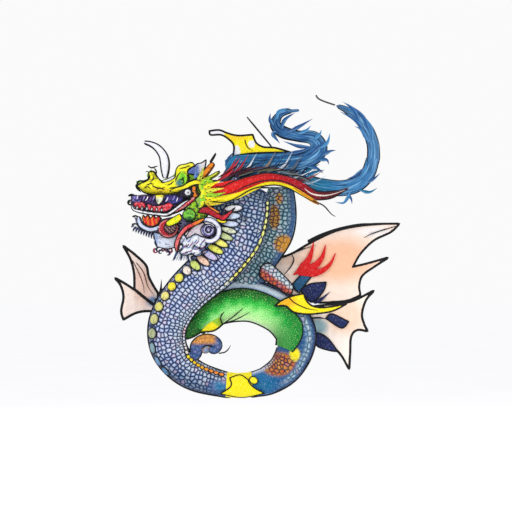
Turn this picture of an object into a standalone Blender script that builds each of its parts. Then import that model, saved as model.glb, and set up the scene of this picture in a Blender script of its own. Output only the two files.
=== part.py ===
"""A silk dragon kite on a cane and carbon frame, modelled at its real size.

The kite hangs upright. +Z is up and -Y is the picture side. +X is to the right when that side is seen.
The origin is the middle of the flat rear face of the hub block, where the kite is held.
All sizes below are millimetres. metres() turns them into Blender's units.
"""

import math

import bmesh
import bpy
from mathutils import Vector

# ---------------------------------------------------------------- driving dimensions (mm)
CLEAR = 0.5            # gap between pieces that sit against each other
RUN = 0.35             # radial clearance of a pin in its bore
LIFT = 2.0             # a sewn layer's gap to the flats of its sleeve
WALL = 1.6             # lined silk of the sleeves
SLEEVE_SIDES = 12
ROD_SIDES = 8

# Depths, counted from the hub's rear face. More negative is nearer to the viewer.
SPINE_Y = -15
SPAR_Y = -26           # cross spar, posts and fins all lie in this plane
HOOP_Y = -38
RING_Y = -84           # middle of the ring, the saddle and the rear neck
NECK_Y = -166          # middle of the front neck and of the head
PLUME_Y = -120
TAIL_Y = -95
RIB_Y = SPAR_Y + 4      # fin ribs lie behind their sails
SKULL_HALF = 50        # half the thickness of the skull
MUZZLE_HALF = 34
JAW_HALF = 36
HEAD_WALL = 5          # side walls of the three head shells
CHEEK_R = 24
CHEEK_THICK = 5

SPINE_X = 10
SPINE_R = 4
SPAR_R = 4
HOOP_R = 3.5
POST_R = 3
ARM_R = 4
PIN_R = 3.6
RIB_R = 2.2
EYE_R = 11
EYE_AXLE_R = 2
TAIL_PIN_X = 164       # the tail hangs on the upright end of its strut
TAIL_PIN_R = 3

# The belly hoop is an ellipse.
HOOP_MID = (-65, -135)
HOOP_HALF = (210, 145)

# Fin posts: x of each, and the two ends of it in z.
LEFT_POST = (-338, -46, 14)
WING_POST = (62, 8, 156)
LOWER_POST = (152, -150, 14)

# Joint centres in (x, z).
HEAD_PIVOT = (-160, 360)
JAW_PIVOT = (-235, 300)
EYE_AT = (-232, 384)

# Sleeve stations: x, z, half width in the picture plane, y of the middle, half depth.
COIL = [
    (-15, 392, 66, -166, 40),
    (-32, 300, 82, -166, 48),
    (-62, 225, 85, -166, 50),
    (-132, 135, 80, -166, 50),
    (-240, 35, 70, -150, 50),
    (-300, -60, 66, -130, 48),
    (-305, -145, 62, -112, 45),
    (-268, -212, 56, -98, 42),
    (-205, -258, 50, -88, 38),
    (-110, -286, 42, RING_Y, 34),
]
SADDLE = [
    (-101, -287.3, 42, RING_Y, 34),
    (-55, -290, 41, RING_Y, 34),
    (-9, -286.2, 42, RING_Y, 34),
]
RING = [
    (0, -285, 42, RING_Y, 34),
    (50, -270, 48, RING_Y, 36),
    (105, -230, 55, RING_Y, 38),
    (140, -165, 62, RING_Y, 38),
    (143, -100, 67, RING_Y, 38),
    (95, -38, 68, RING_Y, 38),
    (10, 5, 69, RING_Y, 38),
    (-65, 12, 70, RING_Y, 38),
    (-140, -12, 62, RING_Y, 36),
    (-188, -60, 46, RING_Y, 32),
    (-200, -98, 30, RING_Y, 26),
]
REAR_NECK = [
    (95, 384, 42, RING_Y, 26),
    (98, 310, 45, RING_Y, 28),
    (88, 245, 45, RING_Y, 28),
    (55, 185, 42, RING_Y, 28),
    (22, 137, 38, RING_Y, 27),
    (6, 112, 36, RING_Y, 26),
]
PLUME = [
    (-105, 480, 18, PLUME_Y, 10),
    (-55, 487, 30, PLUME_Y, 16),
    (60, 487, 38, PLUME_Y, 18),
    (165, 498, 33, PLUME_Y, 18),
    (222, 535, 28, PLUME_Y, 16),
    (205, 576, 22, PLUME_Y, 14),
    (150, 584, 17, PLUME_Y, 12),
    (98, 598, 19, PLUME_Y, 12),
    (72, 624, 17, PLUME_Y, 10),
    (84, 655, 10, PLUME_Y, 7),
    (115, 669, 6, PLUME_Y, 4),
    (155, 674, 3, PLUME_Y, 2.5),
]
TAIL = [
    (176, 426, 23, TAIL_Y, 18),
    (230, 410, 26, TAIL_Y, 20),
    (300, 402, 27, TAIL_Y, 20),
    (355, 415, 28, TAIL_Y, 20),
    (395, 452, 26, TAIL_Y, 20),
    (412, 498, 24, TAIL_Y, 18),
]
TAIL_TIP = [
    (416, 512, 23, TAIL_Y, 18),
    (413, 560, 22, TAIL_Y, 16),
    (392, 612, 19, TAIL_Y, 14),
    (355, 655, 14, TAIL_Y, 11),
    (315, 680, 9, TAIL_Y, 7),
    (285, 692, 5, TAIL_Y, 5),
]
TAIL_CURL = [
    (-196, -160, 17, -112, 14),
    (-200, -140, 16, -116, 14),
    (-178, -122, 15, -120, 13),
    (-148, -124, 15, -120, 12),
    (-130, -142, 14, -118, 11),
    (-140, -160, 9, -116, 8),
    (-156, -160, 5, -116, 5),
]
HORN = [
    (-321, 441, 13, 10),
    (-306, 480, 12, 9),
    (-309, 520, 10, 8),
    (-338, 550, 6, 5),
    (-388, 563, 2, 2),
]
HORN_OFFSET = 24       # each horn's distance from the middle of the head

# ---------------------------------------------------------------- materials
PALETTE = {
    "carbon": ((0.03, 0.03, 0.035), 0.35, 0.0),
    "cane": ((0.62, 0.43, 0.22), 0.55, 0.0),
    "moulded": ((0.05, 0.05, 0.06), 0.5, 0.0),
    "steel": ((0.5, 0.5, 0.52), 0.3, 1.0),
    "scale_silk": ((0.42, 0.47, 0.66), 0.55, 0.0),
    "blue_silk": ((0.04, 0.17, 0.42), 0.55, 0.0),
    "green_silk": ((0.05, 0.45, 0.12), 0.5, 0.0),
    "yellow_silk": ((0.95, 0.85, 0.05), 0.5, 0.0),
    "orange_silk": ((0.82, 0.42, 0.10), 0.55, 0.0),
    "red_silk": ((0.75, 0.03, 0.03), 0.5, 0.0),
    "cream_silk": ((0.98, 0.86, 0.74), 0.6, 0.0),
    "white_silk": ((0.9, 0.9, 0.92), 0.6, 0.0),
}


def material(name):
    """The named material of the palette, made once."""
    found = bpy.data.materials.get(name)
    if found:
        return found
    colour, roughness, metallic = PALETTE[name]
    made = bpy.data.materials.new(name)
    made.use_nodes = True
    shader = made.node_tree.nodes["Principled BSDF"]
    shader.inputs["Base Color"].default_value = (*colour, 1.0)
    shader.inputs["Roughness"].default_value = roughness
    shader.inputs["Metallic"].default_value = metallic
    return made


# ---------------------------------------------------------------- geometry helpers
def metres(x, y, z):
    return Vector((x, y, z)) * 0.001


def smooth(points, steps):
    """Points on a Catmull-Rom curve through the given ones, any number of values each."""
    ends = [points[0], *points, points[-1]]
    made = []
    for i in range(len(points) - 1):
        a, b, c, d = ends[i : i + 4]
        for k in range(steps):
            t = k / steps
            made.append(
                tuple(
                    0.5 * (2 * q + (r - p) * t + (2 * p - 5 * q + 4 * r - s) * t**2
                           + (3 * q - p - 3 * r + s) * t**3)
                    for p, q, r, s in zip(a, b, c, d)
                )
            )
    made.append(tuple(points[-1]))
    return made


def finish(name, bm, colour):
    """Turns a closed bmesh in millimetres into a named object."""
    bmesh.ops.remove_doubles(bm, verts=bm.verts, dist=0.01)
    bmesh.ops.recalc_face_normals(bm, faces=bm.faces)
    bmesh.ops.scale(bm, vec=(0.001, 0.001, 0.001), verts=bm.verts)
    mesh = bpy.data.meshes.new(name)
    bm.to_mesh(mesh)
    bm.free()
    mesh.shade_smooth()
    mesh.set_sharp_from_angle(angle=math.radians(40))
    made = bpy.data.objects.new(name, mesh)
    bpy.context.scene.collection.objects.link(made)
    mesh.materials.append(material(colour))
    return made


def loft(name, rings, colour, loop=False):
    """A closed body through rings of equal length. The ends are capped, or joined if loop is set."""
    bm = bmesh.new()
    rows = [[bm.verts.new(p) for p in ring] for ring in rings]
    pairs = list(zip(rows, rows[1:]))
    if loop:
        pairs.append((rows[-1], rows[0]))
    else:
        bm.faces.new(rows[0])
        bm.faces.new(rows[-1])
    for low, high in pairs:
        for i in range(len(low)):
            j = (i + 1) % len(low)
            bm.faces.new((low[i], low[j], high[j], high[i]))
    return finish(name, bm, colour)


def outward(stations, i):
    """The unit vector in the picture plane, at right angles to the route, on its outer side."""
    before = stations[max(i - 1, 0)]
    after = stations[min(i + 1, len(stations) - 1)]
    along = Vector((after[0] - before[0], after[1] - before[1])).normalized()
    return Vector((along.y, -along.x))


def section(stations, i, grow=0.0, start=0.0, end=360.0, count=SLEEVE_SIDES):
    """Points round a sleeve at a station. 0 degrees is the outer side and 90 is the front."""
    x, z, half, y, depth = stations[i]
    side = outward(stations, i)
    whole = end - start >= 360
    made = []
    for k in range(count):
        angle = math.radians(start + (end - start) * k / (count if whole else count - 1))
        reach = (half + grow) * math.cos(angle)
        made.append((x + side.x * reach, y - (depth + grow) * math.sin(angle), z + side.y * reach))
    return made


def sleeve(name, route, colour, steps=2, closed_tip=False):
    """A hollow tube of lined silk along a route. It is open at both ends, or closed at its tip."""
    stations = smooth(route, steps)
    order = range(len(stations))
    outer = [section(stations, i) for i in order]
    inner = [section(stations, i, grow=-WALL) for i in order]
    if not closed_tip:
        return loft(name, outer + inner[::-1], colour, loop=True)
    return loft(name, inner[:-1][::-1] + outer, colour)


def limb(name, route, colour, steps=2):
    """A solid tapered piece along a route."""
    stations = smooth(route, steps)
    return loft(name, [section(stations, i, count=10) for i in range(len(stations))], colour)


def strip(name, route, first, last, angles, colour, thick=1.2, steps=2):
    """A layer sewn on a sleeve between two of its stations. angles gives its two edges at each end."""
    stations = smooth(route, steps)
    rings = []
    for i in range(first * steps, last * steps + 1):
        t = (i - first * steps) / ((last - first) * steps)
        start, end = (a + (b - a) * t for a, b in zip(*angles))
        top = section(stations, i, LIFT + thick, start, end, 7)
        base = section(stations, i, LIFT, start, end, 7)
        rings.append(top + base[::-1])
    return loft(name, rings, colour)


def former(name, route, at, colour="cane", steps=2, width=5, gap=CLEAR + 0.4):
    """A split-cane hoop inside a sleeve, at one of its smoothed stations."""
    stations = smooth(route, steps)
    side = outward(stations, at)
    along = Vector((-side.y, side.x))
    outer, inner = -WALL - gap, -WALL - gap - width
    rings = []
    for grow, shift in ((outer, -1.5), (outer, 1.5), (inner, 1.5), (inner, -1.5)):
        ring = section(stations, at, grow)
        rings.append([(x + along.x * shift, y, z + along.y * shift) for x, y, z in ring])
    return loft(name, rings, colour, loop=True)


def outline(*runs, steps=4):
    """A closed outline. Each run is a smooth stretch, and the runs meet at corners."""
    made = []
    for run in runs:
        made += smooth(run, steps)[:-1] if len(run) > 2 else run[:-1]
    return made


def hollow(name, shape, half_depth):
    """A cutter for the inside of a head shell, between its two side walls."""
    return panel(name, shape, NECK_Y + half_depth, 2 * half_depth, "moulded")


def panel(name, shape, y, thick, colour):
    """A flat piece with the given outline, from y forward by thick."""
    bm = bmesh.new()
    front = [bm.verts.new((x, y - thick, z)) for x, z in shape]
    rear = [bm.verts.new((x, y, z)) for x, z in shape]
    bm.faces.new(front)
    bm.faces.new(rear[::-1])
    for i in range(len(shape)):
        j = (i + 1) % len(shape)
        bm.faces.new((front[i], front[j], rear[j], rear[i]))
    return finish(name, bm, colour)


def rod(name, points, radius, colour, sides=ROD_SIDES):
    """A round rod through points (x, y, z). A bend is mitred by the curve's own bevel."""
    curve = bpy.data.curves.new(name, "CURVE")
    curve.dimensions = "3D"
    curve.bevel_depth = radius * 0.001
    curve.bevel_resolution = sides // 2 - 2
    curve.use_fill_caps = True
    spline = curve.splines.new("POLY")
    spline.points.add(len(points) - 1)
    for point, place in zip(spline.points, points):
        point.co = (*metres(*place), 1.0)
    made = bpy.data.objects.new(name, curve)
    bpy.context.scene.collection.objects.link(made)
    curve.materials.append(material(colour))
    return made


def lathe(name, middle, axis, profile, colour, sides=16):
    """A turned piece. profile holds (radius, distance along the axis) from one end to the other."""
    along = Vector(axis).normalized()
    across = along.orthogonal().normalized()
    up = along.cross(across)
    rings = []
    for radius, distance in profile:
        ring = []
        for k in range(sides):
            turn = 2 * math.pi * k / sides
            spoke = across * math.cos(turn) + up * math.sin(turn)
            ring.append(Vector(middle) + along * distance + spoke * radius)
        rings.append(ring)
    return loft(name, rings, colour)


def tube(name, middle, axis, outer, bore, half, colour, sides=16):
    """A plain tube, half of its length each way from the middle."""
    made = lathe(name, middle, axis, [(outer, -half), (outer, half)], colour, sides)
    hole = lathe(name + "_bore", middle, axis, [(bore, -half - 2), (bore, half + 2)], colour, sides)
    cut(made, hole)
    return made


def box(name, low, high, colour):
    bm = bmesh.new()
    bmesh.ops.create_cube(bm, size=1.0)
    for vert in bm.verts:
        vert.co = Vector([a if c < 0 else b for a, b, c in zip(low, high, vert.co)])
    return finish(name, bm, colour)


def cut(piece, *cutters):
    """Cuts hidden cutter objects out of a piece."""
    for cutter in cutters:
        cutter.hide_render = True
        cutter.display_type = "WIRE"
        modifier = piece.modifiers.new(cutter.name, "BOOLEAN")
        modifier.operation = "DIFFERENCE"
        modifier.solver = "EXACT"
        modifier.object = cutter


def ellipse(middle, half, y, count):
    """Points of a closed ellipse in the picture plane, from its right end and over its top."""
    turns = [2 * math.pi * k / count for k in range(count)]
    return [(middle[0] + half[0] * math.cos(t), y, middle[1] + half[1] * math.sin(t)) for t in turns]


def hoop(name, middle, half, y, radius, colour, count=32, sides=6):
    """A closed round-section hoop along an ellipse."""
    path = ellipse(middle, half, y, count)
    rings = []
    for i, place in enumerate(path):
        along = (Vector(path[(i + 1) % count]) - Vector(path[i - 1])).normalized()
        side = Vector((along.z, 0, -along.x))
        ring = []
        for k in range(sides):
            turn = 2 * math.pi * k / sides
            depth = Vector((0, radius * math.sin(turn), 0))
            ring.append(Vector(place) + side * radius * math.cos(turn) + depth)
        rings.append(ring)
    return loft(name, rings, colour, loop=True)


# ---------------------------------------------------------------- outlines in the picture plane (x, z)
LEFT_UPPER_FIN = outline(
    [(-352, -11), (-390, 18), (-426, 48)],
    [(-426, 48), (-428, 105), (-441, 155), (-466, 200)],
    [(-466, 200), (-422, 166), (-386, 130), (-377, 92), (-358, 55), (-344, 34)],
    [(-344, 34), (-344, 12)],
    [(-344, 12), (-352, 10)],
    [(-352, 10), (-352, -11)],
)
LEFT_LOWER_FIN = outline(
    [(-344, -38), (-375, -30), (-420, -36), (-466, -60)],
    [(-466, -60), (-473, -30), (-465, 20), (-475, 60), (-495, 86)],
    [(-495, 86), (-460, 66), (-426, 44)],
    [(-426, 44), (-390, 14), (-352, -15), (-344, -15)],
    [(-344, -15), (-344, -38)],
)
WING = outline(
    [(68, 42), (68, 150)],
    [(68, 150), (130, 172), (200, 212), (300, 257), (400, 275), (510, 278)],
    [(510, 278), (480, 250), (420, 220), (372, 172), (345, 125)],
    [(345, 125), (400, 138), (470, 158)],
    [(470, 158), (420, 126), (380, 96), (368, 60), (372, 26)],
    [(372, 26), (335, 10), (300, 4), (230, 0)],
    [(230, 0), (185, 12), (68, 42)],
)
LOWER_FIN = outline(
    [(158, -22), (230, -12), (300, -4), (350, 6), (420, 41)],
    [(420, 41), (392, 8), (378, -40), (385, -75), (398, -101)],
    [(398, -101), (362, -97), (340, -120), (336, -180), (333, -235)],
    [(333, -235), (308, -190), (280, -160), (235, -125), (158, -105)],
    [(158, -105), (158, -22)],
)
HIP_FIN = outline(
    [(72, -10), (95, 8), (130, 22), (169, 33)],
    [(169, 33), (178, 8), (205, -14), (250, -18), (318, -2)],
    [(318, -2), (270, -26), (225, -34), (180, -38), (135, -30), (110, -10), (72, -10)],
)
DORSAL_FIN = outline(
    [(118, 530), (70, 543), (30, 546), (5, 560), (-8, 589)],
    [(-8, 589), (-60, 586), (-95, 594), (-125, 605), (-160, 602)],
    [(-160, 602), (-155, 588), (-120, 588), (-95, 575), (-75, 552), (-76, 522)],
    [(-76, 522), (0, 529), (118, 530)],
)
HIP = outline(
    [(18, 96), (24, 126), (48, 136), (78, 116), (112, 82), (116, 54)],
    [(116, 54), (70, 70), (18, 96)],
)
SKULL = outline(
    [(-414, 424), (-398, 400), (-370, 385), (-330, 379), (-242, 379)],
    [(-242, 379), (-221, 362), (-206, 335), (-197, 302), (-178, 300)],
    [(-178, 300), (-152, 330), (-141, 380), (-152, 428), (-188, 446)],
    [(-188, 446), (-216, 484), (-268, 476), (-284, 446), (-322, 428)],
    [(-322, 428), (-345, 438), (-360, 464), (-376, 446), (-372, 428), (-414, 424)],
    steps=2,
)
MUZZLE = outline(
    [(-432, 344), (-424, 368), (-392, 378), (-330, 374), (-244, 374)],
    [(-244, 374), (-228, 360), (-213, 334)],
    [(-213, 334), (-255, 322), (-300, 314), (-350, 316), (-405, 326), (-432, 344)],
    steps=2,
)
JAW = outline(
    [(-420, 302), (-396, 286)],
    [(-396, 286), (-344, 284)],
    [(-344, 284), (-318, 294), (-262, 306), (-235, 311), (-217, 300)],
    [(-217, 300), (-224, 276), (-262, 240), (-302, 226), (-332, 233), (-350, 246), (-385, 250), (-408, 266),
     (-420, 302)],
    steps=2,
)
TONGUE = outline(
    [(-391, 288), (-391, 303)],
    [(-391, 303), (-380, 296), (-366, 304)],
    [(-366, 304), (-356, 296), (-349, 300)],
    [(-349, 300), (-352, 287), (-391, 288)],
    steps=2,
)
# What is cut out of the three head shells. Each hollow breaks out of its shell on one side.
SKULL_HOLLOW = [
    (-326, 393), (-222, 393), (-204, 364), (-192, 333), (-187, 312), (-177, 312), (-157, 337), (-120, 345),
    (-120, 412), (-157, 422), (-193, 439), (-220, 474), (-262, 467), (-279, 438), (-316, 420),
]
MUZZLE_HOLLOW = [
    (-416, 347), (-412, 360), (-388, 369), (-330, 366), (-247, 365), (-224, 351), (-190, 351), (-190, 340),
    (-224, 338), (-256, 330), (-300, 322), (-350, 324), (-402, 334),
]
JAW_HOLLOW = [
    (-402, 277), (-344, 276), (-318, 285), (-258, 289), (-244, 276), (-272, 252), (-278, 215), (-292, 215),
    (-302, 235), (-330, 241), (-346, 254), (-383, 258),
]
BEARD = outline(
    [(-212, 286), (-240, 268), (-268, 238), (-280, 200), (-262, 172), (-232, 160)],
    [(-232, 160), (-214, 190), (-190, 222), (-158, 246), (-150, 272)],
    [(-150, 272), (-176, 296), (-196, 290)],
    [(-196, 290), (-212, 286)],
    steps=2,
)
COLLAR = outline(
    [(-200, 342), (-206, 400), (-196, 440)],
    [(-196, 440), (-160, 450), (-118, 438)],
    [(-118, 438), (-130, 415), (-96, 408)],
    [(-96, 408), (-128, 392), (-104, 372)],
    [(-104, 372), (-134, 366), (-120, 338)],
    [(-120, 338), (-160, 348), (-200, 342)],
    steps=2,
)


# ---------------------------------------------------------------- the assembly
def build_frame():
    """Spine, cross spar, belly hoop, hub block and head arm."""
    rod("spine_spar", [(SPINE_X, SPINE_Y, -18), (SPINE_X, SPINE_Y, 505)], SPINE_R, "carbon")
    spar_ends = (LEFT_POST[0] + POST_R + 3, LOWER_POST[0] - POST_R - 3)
    rod("cross_spar", [(x, SPAR_Y, 0) for x in spar_ends], SPAR_R, "carbon")
    hoop("belly_hoop", HOOP_MID, HOOP_HALF, HOOP_Y, HOOP_R, "cane")
    hub = box("hub_block", (-24, -44, -24), (38, 0, 24), "moulded")
    spine_hole = rod_cutter("hub_spine_bore", (SPINE_X, SPINE_Y, -20.5), (SPINE_X, SPINE_Y, 40), SPINE_R)
    spar_hole = rod_cutter("hub_spar_bore", (-60, SPAR_Y, 0), (60, SPAR_Y, 0), SPAR_R)
    channel = hoop("hub_hoop_channel", HOOP_MID, HOOP_HALF, HOOP_Y, HOOP_R + RUN, "cane")
    cut(hub, spine_hole, spar_hole, channel)
    rod(
        "head_arm",
        [
            (SPINE_X, SPINE_Y - SPINE_R - ARM_R - CLEAR, 428),
            (SPINE_X, -92, 428),
            (SPINE_X - 12, -104, 428),
            (HEAD_PIVOT[0] + 12, -104, 428),
            (HEAD_PIVOT[0], -104, 416),
            (HEAD_PIVOT[0], -104, HEAD_PIVOT[1] + 10),
            (HEAD_PIVOT[0], -112, HEAD_PIVOT[1]),
            (HEAD_PIVOT[0], -196, HEAD_PIVOT[1]),
        ],
        ARM_R,
        "carbon",
    )
    left, low = HOOP_MID[0] - HOOP_HALF[0], HOOP_MID[1] - HOOP_HALF[1]
    strut_rear = HOOP_Y - HOOP_R - CLEAR
    rod("hoop_strut_left", [(left, strut_rear, HOOP_MID[1]), (left, -70, HOOP_MID[1])], ARM_R, "moulded")
    rod("hoop_strut_bottom", [(HOOP_MID[0], strut_rear, low), (HOOP_MID[0], -49, low)], ARM_R, "moulded")
    rod(
        "tail_strut",
        [
            (SPINE_X, SPINE_Y - SPINE_R - SPAR_R - CLEAR, 406),
            (60, -40, 406),
            (TAIL_PIN_X - 8, TAIL_Y + 3, 404),
            (TAIL_PIN_X, TAIL_Y, 410),
            (TAIL_PIN_X, TAIL_Y, 448),
        ],
        TAIL_PIN_R,
        "carbon",
    )


def rod_cutter(name, start, end, radius):
    """A round cutter with running clearance round a rod."""
    along = Vector(end) - Vector(start)
    return lathe(name, start, along, [(radius + RUN, 0), (radius + RUN, along.length)], "moulded")


def crosswise_bore(name, at, front, radius):
    """A cutter from front to rear through the head at a point of the picture plane."""
    x, z = at
    return rod_cutter(name, (x, front, z), (x, -100, z), radius)


def build_fin_post(name, post, spar_side):
    """An upright post and its fitting. spar_side is where the spar ends: -1 left, 1 right, 0 where it runs past."""
    x, low, high = post
    rod(name + "_post", [(x, SPAR_Y, low), (x, SPAR_Y, high)], POST_R, "carbon")
    grip = {-1: (x - 8, x + 22), 1: (x - 22, x + 8), 0: (x - 9, x + 9)}[spar_side]
    top = 9 if spar_side else 20
    fitting = box(name + "_fitting", (grip[0], SPAR_Y - 8, -9), (grip[1], SPAR_Y + 8, top), "moulded")
    floor = low - 20 if spar_side else low - CLEAR
    post_hole = rod_cutter(name + "_post_bore", (x, SPAR_Y, floor), (x, SPAR_Y, high + 20), POST_R)
    if spar_side:
        spar_start = (x - spar_side * (POST_R + 2.5), SPAR_Y, 0)
    else:
        spar_start = (x - 30, SPAR_Y, 0)
    spar_end = (x - spar_side * 40, SPAR_Y, 0) if spar_side else (x + 30, SPAR_Y, 0)
    spar_hole = rod_cutter(name + "_spar_bore", spar_start, spar_end, SPAR_R)
    cut(fitting, post_hole, spar_hole)


def build_sleeves():
    """The tubular body: front neck and coil, saddle, ring and rear neck, with the hoops inside."""
    sleeve("coil_sleeve", COIL, "scale_silk")
    sleeve("bottom_saddle", SADDLE, "yellow_silk")
    sleeve("ring_sleeve", RING, "blue_silk")
    sleeve("rear_neck_sleeve", REAR_NECK, "blue_silk")
    for number, at in enumerate((3, 12), 1):
        former(f"coil_former_{number}", COIL, at)
    former("ring_former", RING, 8)
    strip("belly_scutes", COIL, 0, 7, ((-30, 74), (-30, 34)), "yellow_silk")
    strip("green_belly_panel", RING, 3, 9, ((84, 196), (50, 196)), "green_silk")
    limb("tail_curl", TAIL_CURL, "orange_silk")
    panel("hip_pad", HIP, -124, 18, "orange_silk")


def hem_tube(name, x, low, high):
    """The stiff tube in a fin's hem. It turns on the fin's post."""
    middle = (x, SPAR_Y, (low + high) / 2)
    tube(name, middle, (0, 0, 1), POST_R + 2.2, POST_R + RUN, (high - low) / 2, "carbon")


def build_left_fins():
    build_fin_post("left_fin", LEFT_POST, -1)
    hem_tube("left_hem_tube", LEFT_POST[0], -44, -10)
    panel("left_upper_sail", LEFT_UPPER_FIN, SPAR_Y + 1, 2, "cream_silk")
    panel("left_lower_sail", LEFT_LOWER_FIN, SPAR_Y + 1, 2, "cream_silk")
    rod("left_fin_rib", [(x, RIB_Y, z) for x, z in ((-348, -17), (-390, 16), (-488, 82))], RIB_R, "carbon")


def build_right_wing():
    build_fin_post("wing", WING_POST, 0)
    hem_tube("wing_hem_tube", WING_POST[0], 43, 155)
    panel("wing_sail", WING, SPAR_Y + 1, 2, "cream_silk")
    spar = smooth([(74, 148), (200, 207), (300, 252), (400, 270), (494, 273)], 3)
    rod("wing_leading_spar", [(x, RIB_Y, z) for x, z in spar], 2.5, "carbon")
    rib = smooth([(74, 60), (200, 70), (330, 110), (455, 151)], 2)
    rod("wing_rib", [(x, RIB_Y, z) for x, z in rib], RIB_R, "carbon")


def build_lower_fin():
    build_fin_post("lower_fin", LOWER_POST, 1)
    hem_tube("lower_hem_tube", LOWER_POST[0], -141, -17)
    panel("lower_fin_sail", LOWER_FIN, SPAR_Y + 1, 2, "cream_silk")
    rib = smooth([(164, -64), (230, -90), (290, -150), (328, -222)], 2)
    rod("lower_fin_rib", [(x, RIB_Y, z) for x, z in rib], RIB_R, "carbon")


def build_plume_and_tail():
    sleeve("plume_sleeve", PLUME, "blue_silk", closed_tip=True)
    panel("dorsal_fin_sail", DORSAL_FIN, PLUME_Y + 1, 2, "yellow_silk")
    sleeve("tail_sleeve", TAIL, "blue_silk")
    sleeve("tail_tip_sleeve", TAIL_TIP, "blue_silk", closed_tip=True)
    whip = smooth([(281, 694), (245, 706), (222, 717), (214, 729)], 3)
    rod("tail_whip", [(x, TAIL_Y, z) for x, z in whip], 3, "carbon")
    panel("hip_fin_sail", HIP_FIN, -124.5, 2, "yellow_silk")


def ribbon(name, path, colour, thick=2.4):
    """A standing strip of cloth. path holds x, z of its middle, its half height and its y."""
    rings = []
    for x, z, half, y in smooth(path, 3):
        low, high = z - half, z + half
        rings.append([(x, y, low), (x, y - thick, low), (x, y - thick, high), (x, y, high)])
    return loft(name, rings, colour)


def build_banner():
    ribbon(
        "red_banner",
        [(-140, 400, 12, -222), (-60, 410, 17, -221), (40, 428, 14, -218), (130, 416, 15, -213),
         (215, 380, 12, -208), (280, 382, 9, -204), (318, 398, 2, -202)],
        "red_silk",
    )
    ribbon(
        "yellow_banner",
        [(-140, 366, 10, -222), (-60, 380, 11, -221), (40, 404, 8.5, -218), (130, 391, 7, -213),
         (215, 343, 3, -208)],
        "yellow_silk",
    )


def cheek_outline():
    """A plate that carries one end of the jaw pin: round at the pin, with a tail that lies on the skull."""
    turns = [math.radians(50 + 20 * k) for k in range(14)]
    made = [(JAW_PIVOT[0] + CHEEK_R * math.cos(t), JAW_PIVOT[1] + CHEEK_R * math.sin(t)) for t in turns]
    return made + [(-184, 303), (-181, 331)]


def build_head():
    front = NECK_Y - SKULL_HALF
    skull = panel("skull_shell", SKULL, NECK_Y + SKULL_HALF, 2 * SKULL_HALF, "yellow_silk")
    neck_bore = crosswise_bore("skull_neck_bore", HEAD_PIVOT, -198, ARM_R)
    eye_bore = crosswise_bore("skull_eye_bore", EYE_AT, front - 9, EYE_AXLE_R)
    cut(skull, hollow("skull_inside", SKULL_HOLLOW, SKULL_HALF - HEAD_WALL), neck_bore, eye_bore)
    muzzle = panel("muzzle", MUZZLE, NECK_Y + MUZZLE_HALF, 2 * MUZZLE_HALF, "red_silk")
    cut(muzzle, hollow("muzzle_inside", MUZZLE_HOLLOW, MUZZLE_HALF - HEAD_WALL))
    axle_ends = (front - 10, front + 110)
    rod("eye_axle", [(EYE_AT[0], y, EYE_AT[1]) for y in axle_ends], EYE_AXLE_R, "steel")
    for name, y in (("eye_near", front - 4.5), ("eye_far", front + 2 * SKULL_HALF + 4.5)):
        tube(name, (EYE_AT[0], y, EYE_AT[1]), (0, 1, 0), EYE_R, EYE_AXLE_R + RUN, 3.5, "white_silk")
    for name, y in (("horn_near", NECK_Y - HORN_OFFSET), ("horn_far", NECK_Y + HORN_OFFSET)):
        limb(name, [(x, z, half, y, depth) for x, z, half, depth in HORN], "white_silk")
    panel("mane_collar", COLLAR, front - 1, 3, "yellow_silk")
    panel("beard", BEARD, front + 8, 6, "white_silk")
    rear = front + 2 * SKULL_HALF
    rod("jaw_pin", [(JAW_PIVOT[0], y, JAW_PIVOT[1]) for y in (front + 0.3, rear - 0.3)], PIN_R, "steel")
    panel("cheek_plate_near", cheek_outline(), front - CLEAR, CHEEK_THICK, "green_silk")
    panel("cheek_plate_far", cheek_outline(), rear + CLEAR + CHEEK_THICK, CHEEK_THICK, "green_silk")


def build_jaw():
    jaw = panel("jaw_shell", JAW, NECK_Y + JAW_HALF, 2 * JAW_HALF, "red_silk")
    bore = crosswise_bore("jaw_bore", JAW_PIVOT, -240, PIN_R)
    cut(jaw, hollow("jaw_inside", JAW_HOLLOW, JAW_HALF - HEAD_WALL), bore)
    panel("tongue", TONGUE, NECK_Y + 18, 36, "orange_silk")


def build_tow_point(x, z, face_y):
    """A sewn tab with a wire ring in it, on the picture side, where a bridle is tied."""
    tab = box("tow_tab", (x - 2.5, face_y - 8.5, z - 3.5), (x + 2.5, face_y - CLEAR, z + 3.5), "moulded")
    ring_y = face_y - 5.2
    hole = lathe("tow_tab_bore", (x - 6, ring_y, z), (1, 0, 0), [(1.9, 0), (1.9, 12)], "moulded", 12)
    cut(tab, hole)
    hoop("tow_ring", (x, z - 8), (8, 8), ring_y, 1.1, "steel", count=16)


def main():
    for old in list(bpy.data.objects):
        bpy.data.objects.remove(old)
    build_frame()
    build_sleeves()
    build_left_fins()
    build_right_wing()
    build_lower_fin()
    build_plume_and_tail()
    build_banner()
    build_head()
    build_jaw()
    build_tow_point(-35, 296, -166 - 48 - 0.8)


main()
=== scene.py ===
"""The looks of a silk dragon kite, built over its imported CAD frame.

Sizes are millimetres and angles are degrees, unless a name says otherwise. The picture side faces -Y.
Every soft piece is a Shape: points, faces, a painted colour at each point, and its flow, which is
where each point lies on the flat cloth. The materials read the colour and the flow.
"""

import math

import bpy
import numpy as np
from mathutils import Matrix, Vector
from mathutils.geometry import delaunay_2d_cdt


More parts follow.
